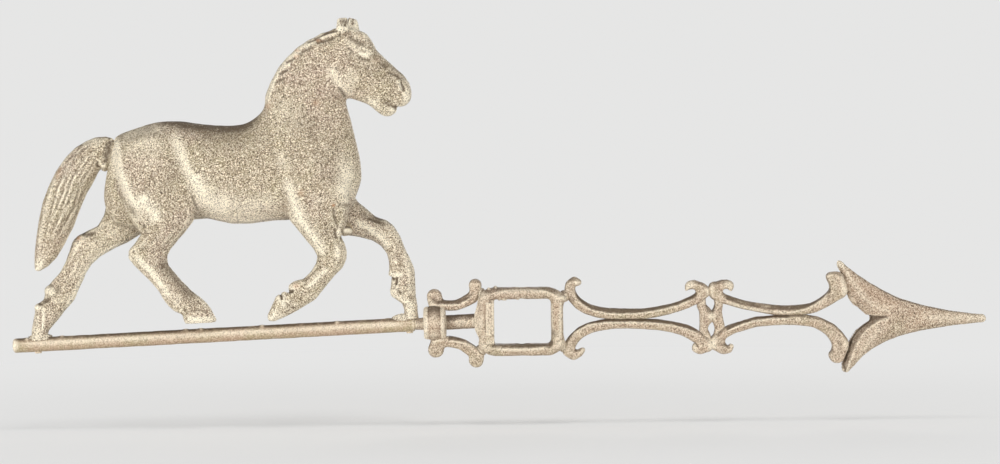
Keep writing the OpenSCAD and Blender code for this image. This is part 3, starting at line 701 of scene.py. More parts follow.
def sculpt_mane(s):
    s.side = "both"
    # Painted highlights along the crest and its outline
    rim = [(334, 33.5), (320, 37.2), (309, 42.6), (299, 49.5), (289, 58.5), (281, 69), (275.5, 80), (271, 92),
           (267.5, 104)]
    s.stroke(rim, 1.3, 0.3, wear_and_highlight=0.45, ends=0.05)
    outline = [(325, 33.6), (317, 37.2), (309, 41.4), (299, 48), (288.6, 57), (280, 67.6), (272.6, 81), (267, 96),
               (263, 108)]
    s.stroke(outline, 1.8, 0, "through", wear_and_highlight=0.75, ends=0.05)
    # Locks, each between two lines of painted shade, with painted highlights on the locks
    lock = [(339, 30.8), (331, 32.3), (324, 34.8), (313, 39.5)]
    s.stroke(lock, 0.9, -0.6, grime_and_shade=0.9, ends=0.1)
    s.stroke(lock, 2.34, 0.21, ends=0.1)
    s.stroke([(339.6, 31), (340, 34), (338.5, 37)], 1.1, -0.4, grime_and_shade=0.7, ends=0.1)
    s.stroke([(337, 33.5), (330, 35.6), (320, 39.2)], 1.7, 0.5, wear_and_highlight=0.15, rust=0.14)
    s.stroke([(320, 38.6), (313.6, 40.4), (307, 43)], 1.0, -0.4, grime_and_shade=0.8, ends=0.1)
    s.stroke([(337, 37), (331, 39), (323, 41.6), (313, 43)], 1.7, -0.5, grime_and_shade=0.75)
    s.stroke([(317, 41.5), (310, 44.6), (304, 48.5)], 1.6, 0.45, wear_and_highlight=0.7)
    s.stroke([(313, 46.5), (304.5, 50.5), (297, 55.5)], 1.6, -0.45, grime_and_shade=0.6)
    s.stroke([(303, 50.5), (296.5, 54.5), (290, 60)], 1.5, 0.35, wear_and_highlight=0.55)
    s.stroke([(296, 57), (291, 60), (284.5, 63)], 1.5, -0.5, grime_and_shade=0.7)
    s.stroke([(291, 62.5), (286, 66), (281, 71)], 1.5, 0.3, wear_and_highlight=0.35)
    s.stroke([(289, 69), (284.5, 71.3), (277.5, 75)], 1.4, -0.55, grime_and_shade=0.75)
    s.stroke([(286, 77.5), (281, 80), (273.5, 83.6)], 1.4, -0.4, grime_and_shade=0.6)
    s.stroke([(281, 88), (276, 91), (271, 94)], 1.4, -0.3, grime_and_shade=0.35)
    for middle in ((318, 40.5), (297, 50.5), (296, 56)):
        s.spot(middle, (2.6, 1.7), 0, rust=0.5)
    # Forelock with a painted highlight, and the soft furrow under it with painted shade
    s.spot((363, 35), (5.5, 3.6), 0.6, turn=35, wear_and_highlight=0.3)
    s.spot((361.5, 36), (4, 2.5), 0, turn=35, rust=0.15)
    s.stroke([(348.5, 33), (352, 38.6), (357, 42), (367, 46)], 3, -0.5, grime_and_shade=0.5)
    s.spot((357, 41.4), (6, 2.4), -0.1, turn=22, grime_and_shade=0.7)
    # Ears: painted shade in the hollow of each and in the slit between them, and painted highlights on their rims
    s.spot((343.2, 21.5), (4, 4.6), -0.3, "near", turn=10, grime_and_shade=0.85)
    s.stroke([(348.4, 17.6), (347, 21), (345.2, 25)], 1.3, -0.7, "near", grime_and_shade=1.2, ends=0.0)
    s.stroke([(353, 18), (352.4, 21.5), (352.6, 25)], 1.2, -0.3, "near", grime_and_shade=0.8, ends=0.1)
    s.spot((353, 29.4), (6, 3), 0.7, "near", wear_and_highlight=0.6)
    s.stroke([(337.8, 19), (338.4, 24), (341, 29)], 1.5, 0.1, "near", wear_and_highlight=0.6, ends=0.1)
    s.stroke([(337.6, 17.4), (344, 17.2), (352, 16.8), (357, 18.5)], 1.6, 0, "through", grime_and_shade=0.35, ends=0.1)
    s.stroke([(354.2, 18.5), (354.8, 23), (356, 28)], 1.6, 0.1, "near", wear_and_highlight=0.6, ends=0.1)


def sculpt_body(s):
    s.side = "both"
    s.spot((300, 88), (16, 22), -0.4, turn=25)
    s.spot((304, 125), (18, 9), 0, grime_and_shade=0.24)
    # Shoulder and upper arm stand out from the ribs, with painted highlights along the arm's rear edge and on the
    # chest
    arm = [(266, 110), (270, 125), (275, 143), (281.5, 165), (287.6, 188), (293, 207), (301, 226)]
    s.step(arm, (330, 170), 24, 1.1, "near", edge=6, ends=0.25)
    s.step(arm[:5], (330, 170), 24, 1.1, "far", edge=6, ends=0.3)
    s.stroke([(277, 146), (282, 164), (286, 178)], 6, 0, "near", wear_and_highlight=0.4, ends=0.4)
    s.stroke([(284, 174), (290, 191), (296, 208), (306, 226)], 5.5, 0, "near", wear_and_highlight=1.0, ends=0.25)
    s.stroke([(306, 124), (317, 141), (324, 160), (326, 182)], 8, -0.8, grime_and_shade=0.12)
    s.spot((343, 168), (8, 12), 0.3, wear_and_highlight=0.65)
    s.spot((346, 187), (10, 14), 0.4, wear_and_highlight=1.0)
    s.spot((346, 180), (9, 21), 0, "through", wear_and_highlight=1.0)
    s.spot((321, 200), (9, 5), 0.3, "near", turn=-25, wear_and_highlight=0.35)
    s.spot((333, 186), (9, 8), -0.3)
    s.stroke([(337, 203), (344, 205.5), (352, 205)], 2.4, -0.35, "near", grime_and_shade=0.35)
    # Flank: the belly stands out from a fold in front of the thigh, with a painted highlight on the slope and painted
    # shade in the crease
    fold = [(167, 116), (171, 128), (176, 142), (182, 160), (190, 179), (201, 197), (211, 211)]
    s.step(fold, (250, 170), 26, 1.3, "near", edge=6.5, ends=0.3)
    s.step(fold[:6], (250, 170), 26, 1.3, "far", edge=6.5, ends=0.3)
    s.stroke([(171, 126), (178, 149), (186, 170), (199, 190), (206, 203), (213, 217)], 5.5, 0, "near", wear_and_highlight=0.85,
             ends=0.25)
    s.stroke([(190, 172), (196, 182), (203, 196), (208, 208)], 8, 0.3, "near", wear_and_highlight=1.0, ends=0.2)
    s.stroke([(190.5, 193), (194, 202), (199.5, 213)], 1.2, -0.45, "near", grime_and_shade=0.45)
    # Haunch, with painted highlights on its top and on the thigh
    s.spot((146, 145), (22, 16), 0.5, turn=-10, wear_and_highlight=0.35)
    s.stroke([(112, 146), (122, 136), (136, 130), (152, 127), (170, 126)], 7, 0, "through", wear_and_highlight=0.6, ends=0.45)
    s.spot((284, 112), (18, 16), 0, wear_and_highlight=0.3)
    s.stroke([(119, 143), (133, 133), (150, 129), (168, 129)], 6.5, 0, wear_and_highlight=0.6)
    s.spot((172, 178), (8, 18), -0.7, turn=15, grime_and_shade=0.16)
    s.stroke([(139, 190), (146, 203), (154, 215), (157, 226)], 6.5, 0.5, "near", wear_and_highlight=1.0, ends=0.25)
    # Painted shade on the back, and painted light on the belly
    s.stroke([(190, 140), (215, 142), (245, 142), (268, 136)], 13, 0, grime_and_shade=0.26)
    s.stroke([(168, 120), (190, 122), (215, 124), (240, 125), (262, 118)], 9, 0, grime_and_shade=0.3)
    s.stroke([(196, 190), (212, 203), (234, 208)], 13, 0.2, "near", wear_and_highlight=0.9, ends=0.2)
    s.stroke([(206, 203), (240, 207), (262, 205), (290, 198)], 10, 0.2, wear_and_highlight=0.65, ends=0.4)
    s.stroke([(196, 206), (225, 217), (250, 219), (292, 210)], 8, 0, "through", wear_and_highlight=0.6, ends=0.4)
    for middle in ((316, 103), (268, 106), (301, 193)):
        s.spot(middle, (3.5, 3), 0, rust=0.35)
    s.spot((333.5, 205.3), (1.4, 1.4), 0, "near", rust=1.2)


def sculpt_near_legs(s):
    s.side = "near_leg"
    # Rear edge of the haunch, over the far buttock, with a painted highlight along the edge and painted shadow in the
    # crease beside it and in the pit below
    edge = [(113, 132), (116, 145), (117.6, 158), (119.5, 172), (125, 189), (134, 207), (143, 221)]
    s.step(edge, (150, 170), 12, 1.2, "near", edge=4, ends=0.15)
    s.step(edge, (100, 170), 12, -0.7, "near", edge=4.5, ends=0.15)
    s.stroke([(112, 138), (116, 158), (119.5, 175), (127, 193), (137, 211)], 4.8, 0, "near", wear_and_highlight=1.0, ends=0.12)
    s.stroke([(112.4, 138), (113, 150), (114, 162)], 2.6, 0, "through", wear_and_highlight=0.8, ends=0.1)
    s.stroke([(114.6, 174), (117.6, 188), (123.6, 202), (133, 213), (139, 220)], 2.4, -0.25, "near", grime_and_shade=0.42)
    s.stroke([(131, 208), (137.5, 216), (142, 222)], 4, 0, "near", wear_and_highlight=0.6)
    s.spot((143.6, 226), (1.5, 1.5), -0.4, "near", grime_and_shade=0.8)
    # Near hind leg: a painted highlight on the tendon behind and painted shade in front
    s.stroke([(133, 252), (139, 260), (151, 271), (164, 288), (173, 302)], 3.6, 0.4, wear_and_highlight=0.95)
    s.stroke([(156, 257), (170, 272), (186, 291), (199, 302)], 6.5, -0.25, grime_and_shade=0.75)
    s.spot((143, 247), (4, 3), 0, grime_and_shade=0.35)
    s.spot((163, 240), (7, 9), 0.2, turn=30, grime_and_shade=0.12)
    s.spot((177, 301), (4.5, 4), 0.3, turn=40, wear_and_highlight=0.4)
    s.spot((195, 303), (5, 3), -0.2, turn=30, grime_and_shade=0.45)
    s.stroke([(182, 308), (186, 311), (187, 315)], 1.4, -0.4, grime_and_shade=0.3)
    s.stroke([(190, 311), (200, 310), (210, 311.5)], 1.4, -0.3, grime_and_shade=0.25)
    s.stroke([(186, 318.5), (202, 318.8), (217, 318)], 2.4, 0.3, wear_and_highlight=0.75, ends=0.1)
    # Near foreleg, with painted highlights along its rear edge, on the knee and on the hoof, and painted shade in its
    # creases and notches
    s.stroke([(291, 204), (297, 216), (308.5, 230), (319, 245), (326, 259)], 4.6, 0.4, wear_and_highlight=1.0)
    s.stroke([(335, 229), (335, 233), (336.6, 238)], 1.0, -0.4, grime_and_shade=0.85, ends=0.0)
    s.stroke([(342.6, 231), (342.4, 235), (341, 238.6)], 1.0, -0.3, grime_and_shade=1.0, ends=0.0)
    s.spot((338.8, 233.4), (2.3, 3.8), 1.0, wear_and_highlight=1.2)
    s.stroke([(332.6, 207), (334.4, 217), (337, 225), (339.6, 228)], 1.5, -0.3, "near", grime_and_shade=0.55, ends=0.2)
    s.spot((337, 252), (4, 8), 0.3, wear_and_highlight=0.6)
    s.spot((327, 232), (5, 10), -0.3, turn=-20, grime_and_shade=0.16)
    s.stroke([(330, 266), (318, 278), (306, 290)], 3, 0.3, wear_and_highlight=0.5)
    s.stroke([(324, 263), (312, 274), (302, 284)], 1.6, -0.25, grime_and_shade=0.4)
    s.spot((296, 286), (3.6, 2.8), 0.6, wear_and_highlight=0.3, rust=0.5)
    s.stroke([(285.5, 290.6), (290, 291.2), (294, 291.4)], 1.0, -1.4, "through", grime_and_shade=1.0, ends=0.1)
    s.stroke([(279.8, 292.5), (281, 296), (282, 300)], 1.0, -1.3, "through", grime_and_shade=1.0, ends=0.1)
    s.stroke([(283, 301), (288, 306), (297, 309)], 1.2, -0.35, grime_and_shade=0.3)
    s.spot((283.5, 303), (3, 4), 0.3, wear_and_highlight=0.7)
    s.stroke([(271.5, 314), (276, 318.5), (287, 315.5)], 1.8, 0.2, wear_and_highlight=0.8, ends=0.1)


def sculpt_far_legs(s):
    s.side = "far_leg"
    # Far hind leg, with painted highlights along its top outline, its rear edge and the fetlock ball, and painted
    # shade under the ball and in its creases
    s.stroke([(112, 221), (101, 227), (91, 230.6), (83, 236.5), (77, 246), (70, 259)], 2.4, 0, "through", wear_and_highlight=0.8)
    s.stroke([(97, 232.5), (90, 233.8), (81, 235)], 2.4, -0.3, grime_and_shade=0.7)
    s.spot((94, 237.5), (6, 3), -0.1, turn=10, grime_and_shade=0.35)
    s.spot((78.6, 238), (2, 2), 0.2, rust=0.9)
    s.stroke([(128, 240), (112, 247), (97, 258), (87, 270), (76, 290), (63, 312)], 3.4, 0.3, wear_and_highlight=0.6)
    s.stroke([(122, 214), (104, 243), (88, 260), (70, 290)], 11, 0, wear_and_highlight=0.25)
    s.stroke([(84, 246), (72, 264), (60, 282)], 3, -0.2, grime_and_shade=0.14)
    s.spot((58.5, 290), (3.4, 5), -0.7, grime_and_shade=0.3)
    s.spot((50.6, 291), (4.4, 4.2), 2.2, wear_and_highlight=1.0)
    s.spot((47, 291), (2.5, 3.6), 0.5, "through")
    s.spot((46.4, 300.4), (3.2, 2), -0.9, turn=-20, grime_and_shade=0.95)
    s.spot((36, 307), (3.4, 3.4), 1.0, "through")
    s.spot((40.4, 304), (2, 1.3), -0.5, grime_and_shade=0.7)
    s.stroke([(43.8, 307), (43.6, 321), (42.5, 331)], 1.3, 0.5, wear_and_highlight=1.0, ends=0.1)
    s.spot((38, 322), (5, 13), 0, wear_and_highlight=0.35)
    # Far foreleg, with painted highlights along its edges and knee, and painted shade in its creases
    s.stroke([(357, 212), (367, 216.5), (379, 221), (387, 229)], 3.6, -0.35, grime_and_shade=0.62)
    s.stroke([(366, 218), (373, 220), (381, 222.5)], 1.8, -0.3, grime_and_shade=0.85)
    s.stroke([(352, 222), (366, 227), (381, 237), (391, 251)], 4, 0.4, wear_and_highlight=0.7)
    s.stroke([(404, 250), (408, 264), (410, 280), (411, 300)], 4, 0.2, wear_and_highlight=0.3)
    s.stroke([(396, 250), (400, 262), (402, 272)], 2, -0.2, grime_and_shade=0.25)
    s.stroke([(390, 277.5), (393.5, 279)], 1.3, -1.2, "through", grime_and_shade=0.7, ends=0.0)
    s.stroke([(396.8, 276.5), (396.6, 281), (395.6, 285.5)], 1.1, -1.4, grime_and_shade=1.2, ends=0.1)
    s.spot((398.5, 274.4), (4, 2.6), 0.5, wear_and_highlight=0.9)
    s.spot((397, 289), (1.5, 1.5), 0.4, wear_and_highlight=1.0)
    s.spot((391, 274), (2.6, 2.6), 0.4, wear_and_highlight=0.5)
    s.stroke([(394.5, 288.6), (399, 291.5), (402, 295)], 1.0, -0.5, grime_and_shade=0.5)
    s.spot((392.5, 292), (3, 3), 0.5, wear_and_highlight=0.6)
    s.spot((411, 307), (8, 11), 0.2, wear_and_highlight=0.3)


def sculpt_tail(s):
    s.side = "through"
    back = [(110, 139), (96, 138), (83, 142), (67, 157), (55, 181), (46, 208), (40, 240), (36, 266)]
    front = [(106, 163), (98, 173), (92, 186), (86, 204), (78, 224), (66, 245), (51, 262), (40, 270)]
    # Strands: painted shade in the grooves and painted highlights on the ridges
    for number, share in enumerate(np.linspace(0.07, 0.93, 11)):
        strand = []
        for place, (a, b) in enumerate(zip(back, front)):
            sway = 1.6 * math.sin(2.1 * place + 2.6 * number)
            strand.append((a[0] + share * (b[0] - a[0]) + sway, a[1] + share * (b[1] - a[1]) + 0.4 * sway))
        start = number * 5 % 3
        depth = (0.2, 0.14, 0.26)[start]
        s.stroke(strand[start // 2:6 + number % 2], 1.2, -depth, grime_and_shade=depth, ends=0.4)
        ridge = [(x + 2.1, y + 1.2) for x, y in strand[start:6 + number % 3]]
        s.stroke(ridge, 1.3, 0.1, wear_and_highlight=0.35, ends=0.4)
    s.stroke([(91, 145), (84, 149), (76, 155), (70, 162)], 1.4, -0.25, grime_and_shade=0.5)
    # Painted highlights along the tail's upper and lower edges, its top and its tip
    s.stroke([(84, 141), (66, 157), (54, 181), (46, 208), (40, 240), (37, 266)], 2.2, 0.2, wear_and_highlight=0.55)
    s.stroke([(104, 166), (94, 183), (86, 202), (77, 222), (65, 244), (52, 260)], 3.2, 0.15, wear_and_highlight=0.7)
    s.stroke([(80, 145), (90, 141), (99, 140.5), (105, 144)], 5, 0, wear_and_highlight=0.6)
    s.spot((40, 264), (4, 7), 0, wear_and_highlight=0.9)
    s.spot((60, 247), (12, 12), 0, rust=0.07)
    s.stroke([(62, 166), (58, 173), (56, 180)], 1.6, 0, rust=0.4, grime_and_shade=0.4)
    # Painted shadow where the tail meets the rump
    for x, y, size in ((107, 144, 1.8), (105.4, 149.5, 2), (104, 156, 1.8)):
        s.spot((x, y), (size, 1.4 * size), -0.2, grime_and_shade=0.8)
    s.stroke([(97.6, 160), (97, 164.5), (99.5, 168)], 1.1, -0.3, grime_and_shade=0.6)
    s.stroke([(100, 159), (100, 163), (101.5, 166)], 1.4, 0.2, wear_and_highlight=0.6)


class VANE_OT_horse(bpy.types.Operator):
    """Builds the two cast halves of the horse from one sculpted body"""

    bl_idname = "vane.horse"
    bl_label = "Horse halves"

    def execute(self, context):
        casting = settings().casting
        halves = ["horse_near_half", "horse_far_half"]
        horse = fine_copy("whole horse", halves, casting.horse_grid)
        smooth(horse, rounds=8)
        smooth(horse, casting.body_smoothing, body_share(places(horse.data)))
        smooth(horse, rounds=90, weights=far_seams(places(horse.data)))
        s = Sculptor(horse)
        widen_ears(s)
        s.write()
        for sculpt in (sculpt_body, sculpt_near_legs, sculpt_far_legs):
            sculpt(s)
        s.write()
        for sculpt in (sculpt_mane, sculpt_head):
            sculpt(s)
        s.write()
        lumpy(horse, size=5 * MM, height=0.25 * MM)
        s.read()
        s.squeeze(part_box(halves[1])[1].y)
        s.finish(scale=0.2, dirt_and_shade=0.4)
        for name, side in zip(halves, (-1, 1)):
            piece = half_of(horse, f"cast_{name}", side)
            place_piece(piece, finish_for("horse casting"), "horse_casting", name)
        bpy.data.objects.remove(horse)
        return {"FINISHED"}


class VANE_OT_tail(bpy.types.Operator):
    """Builds the tail with its long strands of hair"""

    bl_idname = "vane.tail"
    bl_label = "Tail"

    def execute(self, context):
        tail = fine_copy("cast_tail", ["tail"], settings().casting.arrow_grid)
        smooth(tail, rounds=24)
        s = Sculptor(tail)
        sculpt_tail(s)
        s.finish(scale=0.15, dirt_and_shade=0.5)
        place_piece(tail, finish_for("horse casting"), "horse_casting", "tail")
        return {"FINISHED"}


# Bar, solder and arrow


# Reach in pixels round the tip of a curl, and the share of smoothing that it is spared
TIP_REACH = 8
TIP_SPARED = 0.8


def away_from(tips, points):
    """Smoothing weight: 1, and less near tips given as pixels."""
    px, py = in_picture(points, points[:, 1])
    weight = np.ones(len(points))
    for x, y in tips:
        weight -= TIP_SPARED * weight * np.exp(-(((px - x) / TIP_REACH) ** 2) - ((py - y) / TIP_REACH) ** 2)
    return weight


def plain_casting(node, grid, finish, slot, rounds, lumps=(3 * MM, 0.2 * MM), sculpt=None, swell=0.0, tips=()):
    """Cast copy of one CAD node, named after it.

    It gets rounds of smoothing, fewer near the tips of its curls, swells by some mm, is sculpted,
    and gets lumps of a size and a height.
    """
    piece = fine_copy(f"cast_{node}", [node], grid)
    smooth(piece, rounds, away_from(tips, places(piece.data)))
    s = Sculptor(piece)
    s.swell(swell)
    if sculpt:
        sculpt(s)
    s.write()
    lumpy(piece, *lumps)
    s.read()
    s.finish(scale=0.25, dirt_and_shade=0.35)
    place_piece(piece, finish_for(finish), slot, node)


def sculpt_tail_root(s):
    s.side = "through"
    # The root is drawn towards the rump, and its top down into line with the tail
    px, py, _ = s.seen()
    s.points[:, 0] += 2.2 * PIXEL * smoothstep(106, 111, px)
    s.points[:, 2] -= 3.5 * PIXEL * smoothstep(144, 136, py)
    # Painted shadow in the gap between the tail's end and the rump
    s.stroke([(110.6, 141), (108.4, 149), (105.4, 160)], 3.4, -0.4, grime_and_shade=0.95, ends=0.1)
    for middle, size in (((109.6, 143), 2), ((106.6, 147), 2.6), ((109.4, 151.5), 2.2), ((105.4, 154.5), 2.6)):
        s.spot(middle, (size, size + 0.8), -0.35, grime_and_shade=1.1)
    s.spot((105.4, 160.8), (2.4, 2), -1.0, grime_and_shade=1.2)
    s.spot((103.8, 165.6), (3.2, 2.2), 0.7, wear_and_highlight=1.0)


def sculpt_crotch(s):
    s.side = "near"
    # Painted shadow along the crease, and a painted highlight on the ridge beside it
    s.stroke([(340, 226.4), (346, 226.2), (351.8, 227.6), (353.8, 231.4), (352.8, 235)], 1.1, -0.4, grime_and_shade=1.0,
             ends=0.0)
    s.stroke([(344.4, 230.6), (348, 230.4), (350.8, 231.8)], 2.2, 1.1, wear_and_highlight=0.9, ends=0.0)


def sculpt_hoof_solder(s):
    s.side = "through"
    # Narrower than the CAD lump
    s.points[:, 1] *= 0.8
    s.spot((40, 336), (13, 4), 0.4, wear_and_highlight=0.7)
    for x in (28, 52):
        s.spot((x, 338), (3, 3), -0.9, grime_and_shade=0.3)
    s.spot((408, 315), (9, 4), 0.5, wear_and_highlight=0.8)
    s.spot((399, 314), (12, 6), 0.2, wear_and_highlight=0.8)


def sculpt_brazes(s):
    s.side = "through"
    for middle in ((479, 292), (568, 296), (567, 345), (480, 350)):
        s.spot(middle, (8, 8), 0, wear_and_highlight=0.6)


def sculpt_bar(s):
    s.side = "through"
    # Painted highlights on the end face and along the bar, light flecks, and rust along its lower edge
    s.spot((15.5, 345), (2.6, 6), 0, wear_and_highlight=1.0)
    s.stroke([(20, 344), (100, 340), (185, 335.5), (300, 329), (410, 323.5)], 2.6, 0, "near", wear_and_highlight=0.55, ends=0.05)
    s.stroke([(20, 350.5), (100, 346.5), (185, 342), (300, 335.5), (410, 330)], 1.8, 0, "near", rust=0.08, ends=0.05)
    for x, y in ((27, 339), (62, 336), (186, 329.5), (201, 329), (262, 326), (337, 322.5), (388, 317.5), (397, 316)):
        s.spot((x, y), (2.4, 1.4), 0.5, wear_and_highlight=0.5)


class VANE_OT_bar(bpy.types.Operator):
    """Builds the round tail bar and the two rivets under the hooves"""

    bl_idname = "vane.bar"
    bl_label = "Tail bar and rivets"

    def execute(self, context):
        grid = settings().casting.arrow_grid
        plain_casting("tail_bar", grid, "bar", "bar", rounds=4, lumps=(6 * MM, 0.35 * MM), sculpt=sculpt_bar)
        for node in ("hind_hoof_rivet", "fore_hoof_rivet"):
            plain_casting(node, settings().casting.solder_grid, "rivet", "rivet", rounds=3)
        return {"FINISHED"}


class VANE_OT_solder(bpy.types.Operator):
    """Builds the lumps of solder on the horse and the braze at the yoke's corners"""

    bl_idname = "vane.solder"
    bl_label = "Solder and braze"

    def execute(self, context):
        grid = settings().casting.solder_grid
        plain_casting("tail_solder", grid, "horse casting", "solder", rounds=20, lumps=(1.6 * MM, 0.6 * MM),
                      sculpt=sculpt_tail_root, swell=0.1)
        plain_casting("foreleg_solder", grid, "rivet", "solder", rounds=6, lumps=(1.6 * MM, 0.4 * MM),
                      sculpt=sculpt_crotch)
        for node in ("hind_hoof_solder", "fore_hoof_solder"):
            plain_casting(node, grid, "horse casting", "solder", rounds=40, lumps=(1.4 * MM, 1.3 * MM),
                          sculpt=sculpt_hoof_solder)
        plain_casting("corner_brazes", grid, "arrow casting", "solder", rounds=16, lumps=(2.4 * MM, 0.4 * MM),
                      sculpt=sculpt_brazes, swell=0.5)
        return {"FINISHED"}


def sculpt_collar(s):
    s.side = "both"
    # Painted highlights on both rims, painted shade on the collar's top, and painted light across its middle and lower
    # part
    for x in (425.8, 442.6):
        s.stroke([(x, 307), (x - 0.2, 323), (x, 339)], 1.2, 0.2, "near", wear_and_highlight=1.0, ends=0.05)
    s.spot((433.6, 310.8), (7, 3), 0.4, "near", grime_and_shade=0.5)
    s.spot((434, 318.5), (7, 4.5), 0, wear_and_highlight=0.65)
    s.stroke([(434, 307), (434, 323), (434, 339)], 8.2, 2.3, ends=0.05)
    s.spot((434.5, 322), (5.5, 8), 0, "near", rust=0.14)
    s.spot((434, 335), (6, 3.4), 0, "near", wear_and_highlight=0.5)
    # Painted highlight on the tang, and a sleeve with painted shade on top, along its lower edge and at its left end,
    # and painted highlights along the middle and at its right end
    s.stroke([(414, 325), (424, 324.6)], 4, 0, wear_and_highlight=0.6, ends=0.0)
    s.stroke([(447, 315), (474, 314.4)], 2, 0, grime_and_shade=0.5, ends=0.0)
    s.stroke([(447, 330), (474, 329)], 1.4, 0, grime_and_shade=0.5, ends=0.0)
    s.stroke([(448, 315), (448, 330)], 3.6, -0.2, grime_and_shade=0.5, ends=0.0)
    s.stroke([(453, 323), (471, 322)], 4, 0, wear_and_highlight=0.5)
    s.stroke([(473, 316), (473.4, 328)], 1.6, 0.2, "near", wear_and_highlight=0.6)


def sculpt_yoke(s):
    s.side = "near"
    # Web behind the rear rail, with a ridge on each side of a flat strip, painted highlights along the ridges and
    # painted shade beside them
    s.spot((481, 318), (5.5, 17), 1.6, "both", wear_and_highlight=0.05)
    s.spot((479, 326), (3, 8), 0.5, "both", wear_and_highlight=0.6)
    s.spot((483.5, 311), (3.6, 8), 0, rust=0.14, grime_and_shade=0.3)
    s.stroke([(487.3, 301), (486.8, 318), (487.3, 337)], 1.2, 0.4, wear_and_highlight=0.95, ends=0.1)
    s.stroke([(492.9, 302), (492.9, 318), (492.9, 336)], 1.2, 0.3, wear_and_highlight=0.9, ends=0.1)
    s.stroke([(490, 302), (490, 318), (490, 337)], 2, 0.7, wear_and_highlight=0.1, ends=0.05)
    s.stroke([(485, 303), (484.6, 318), (485, 334)], 1.1, -0.3, grime_and_shade=0.35)
    # Wide corners
    for middle in ((482, 295), (484, 346), (561, 296), (563, 345)):
        s.spot(middle, (7, 7), 1.3, "through", wear_and_highlight=0.3)
    s.spot((564, 298.4), (3.6, 3.2), 1.5, "through", wear_and_highlight=0.3)
    # Rails, with painted highlights along their edges, and painted shadow on the bottom rail's inner face and in a
    # corner of the right rail
    s.stroke([(560.6, 300), (560.6, 318), (560, 340)], 1.5, 0.2, wear_and_highlight=0.8, ends=0.1)
    s.stroke([(551.8, 304), (551.6, 318), (551.8, 331)], 1.2, 0.15, wear_and_highlight=0.6, ends=0.1)
    s.stroke([(556, 302), (556, 318), (555.6, 334)], 2, -0.15, grime_and_shade=0.2, rust=0.14)
    s.spot((553.6, 333), (3, 4), 0, grime_and_shade=0.8)
    s.stroke([(491, 294), (505, 291), (525, 289.8), (545, 291.5), (556, 297)], 1.8, 0.2, wear_and_highlight=0.55)
    s.stroke([(490, 345), (502, 349.5), (530, 349.5), (553, 347)], 1.8, 0.2, wear_and_highlight=0.7)
    s.stroke([(494, 340), (506, 343.4), (530, 344), (549, 342)], 2.6, -0.2, grime_and_shade=0.85, ends=0.1)
    s.stroke([(498, 298.8), (501, 300.6), (504, 299.4), (507, 300)], 1.3, 0.8, "through", wear_and_highlight=0.5, ends=0.1)
    for middle in ((489, 289), (495.5, 287.4), (518, 300)):
        s.spot(middle, (1.5, 1.3), 0.9, "through", wear_and_highlight=0.4)


# Where curls, links and necks meet or end: a swelling at a pixel, its half sizes in pixels, its height in mm
CONTACTS = {
    "rear_scroll_upper": [((432.6, 303), (5, 4), 1.3), ((435, 306.5), (8, 3), 1.2)],
    "rear_scroll_lower": [((433.6, 341), (5, 4), 1.3), ((437, 339), (8, 3), 1.2)],
    "front_scroll_upper": [((708.5, 288), (4, 10), 1.1), ((692, 285), (6, 5), 1.0), ((577, 283), (4, 4), 0.8)],
    "head_scroll_upper": [
        ((711, 288), (4, 10), 1.1), ((726, 285), (6, 5), 1.0), ((842.5, 284), (5, 13), 1.3), ((846, 292), (4, 6), 1.4),
    ],
    "front_scroll_lower": [((711, 342), (5, 9), 2.2), ((702, 347), (5, 4), 0.7)],
    "head_scroll_lower": [((713, 342), (5, 9), 2.2), ((722, 348), (5, 4), 0.7), ((848, 344), (5, 9), 1.1)],
    "rear_link": [((710, 316), (5, 6), 1.8)],
    "front_link": [((711.5, 316), (5, 6), 1.8)],
}

# Painted shade as a brown strip along the upper side of each bar: its half width, the share of painted shade, and its
# line in pixels
SHADE_STRIPS = {
    "rear_scroll_upper": (2.3, 0.15, [(437, 300.6), (448, 301.4), (458.6, 301), (466, 297.6), (474, 291)]),
    "rear_scroll_lower": (2.2, 0.15, [(448, 337), (461, 338.8), (470, 341.2), (479, 346)]),
    "front_scroll_upper": (2.3, 0.6, [
        (575, 292), (582, 300.5), (592, 306.8), (605, 309.6), (620, 310.6), (640, 309.8), (660, 306.6), (678, 302),
        (697, 294),
    ]),
    "front_scroll_lower": (1.9, 0.6, [
        (567, 338), (574, 330), (588, 322), (606, 319.6), (630, 319.3), (650, 320), (671, 322), (688, 326.4),
        (699, 331.5),
    ]),
    "head_scroll_upper": (2.6, 0.6, [
        (722, 295.5), (740, 302.4), (766, 307.4), (790, 308.2), (803, 306), (815, 300.6), (825, 293), (830, 282),
    ]),
    "head_scroll_lower": (1.9, 0.6, [(725, 329), (740, 322.4), (753, 318.2), (770, 315.8), (790, 315.8)]),
}

# Tips of the curls, which are smoothed less
CURL_TIPS = {
    "front_scroll_upper": [(689, 285)],
    "front_scroll_lower": [(581, 352), (698, 346)],
    "head_scroll_upper": [(730, 286), (829, 276)],
    "head_scroll_lower": [(731, 347), (832, 356)],
}

# Where a curl's end is drawn out into a beak: the pixel, and the pull in pixels
CURL_HOOKS = {
    "front_scroll_upper": ((686.4, 286), (-0.2, 4.2)),
    "front_scroll_lower": ((694.6, 346.5), (-0.2, -3.2)),
    "head_scroll_upper": ((730.8, 286.4), (0.2, 4.2)),
}
# Square of the reach of that pull
HOOK_REACH_SQUARED = 7.0

# Painted shade as a brown line over each upper curl
CURL_TOP_SHADES = {
    "front_scroll_upper": [(685, 280), (693, 277.8), (703, 280.4)],
    "head_scroll_upper": [(714, 282), (722, 278.4), (732, 278.6)],
}


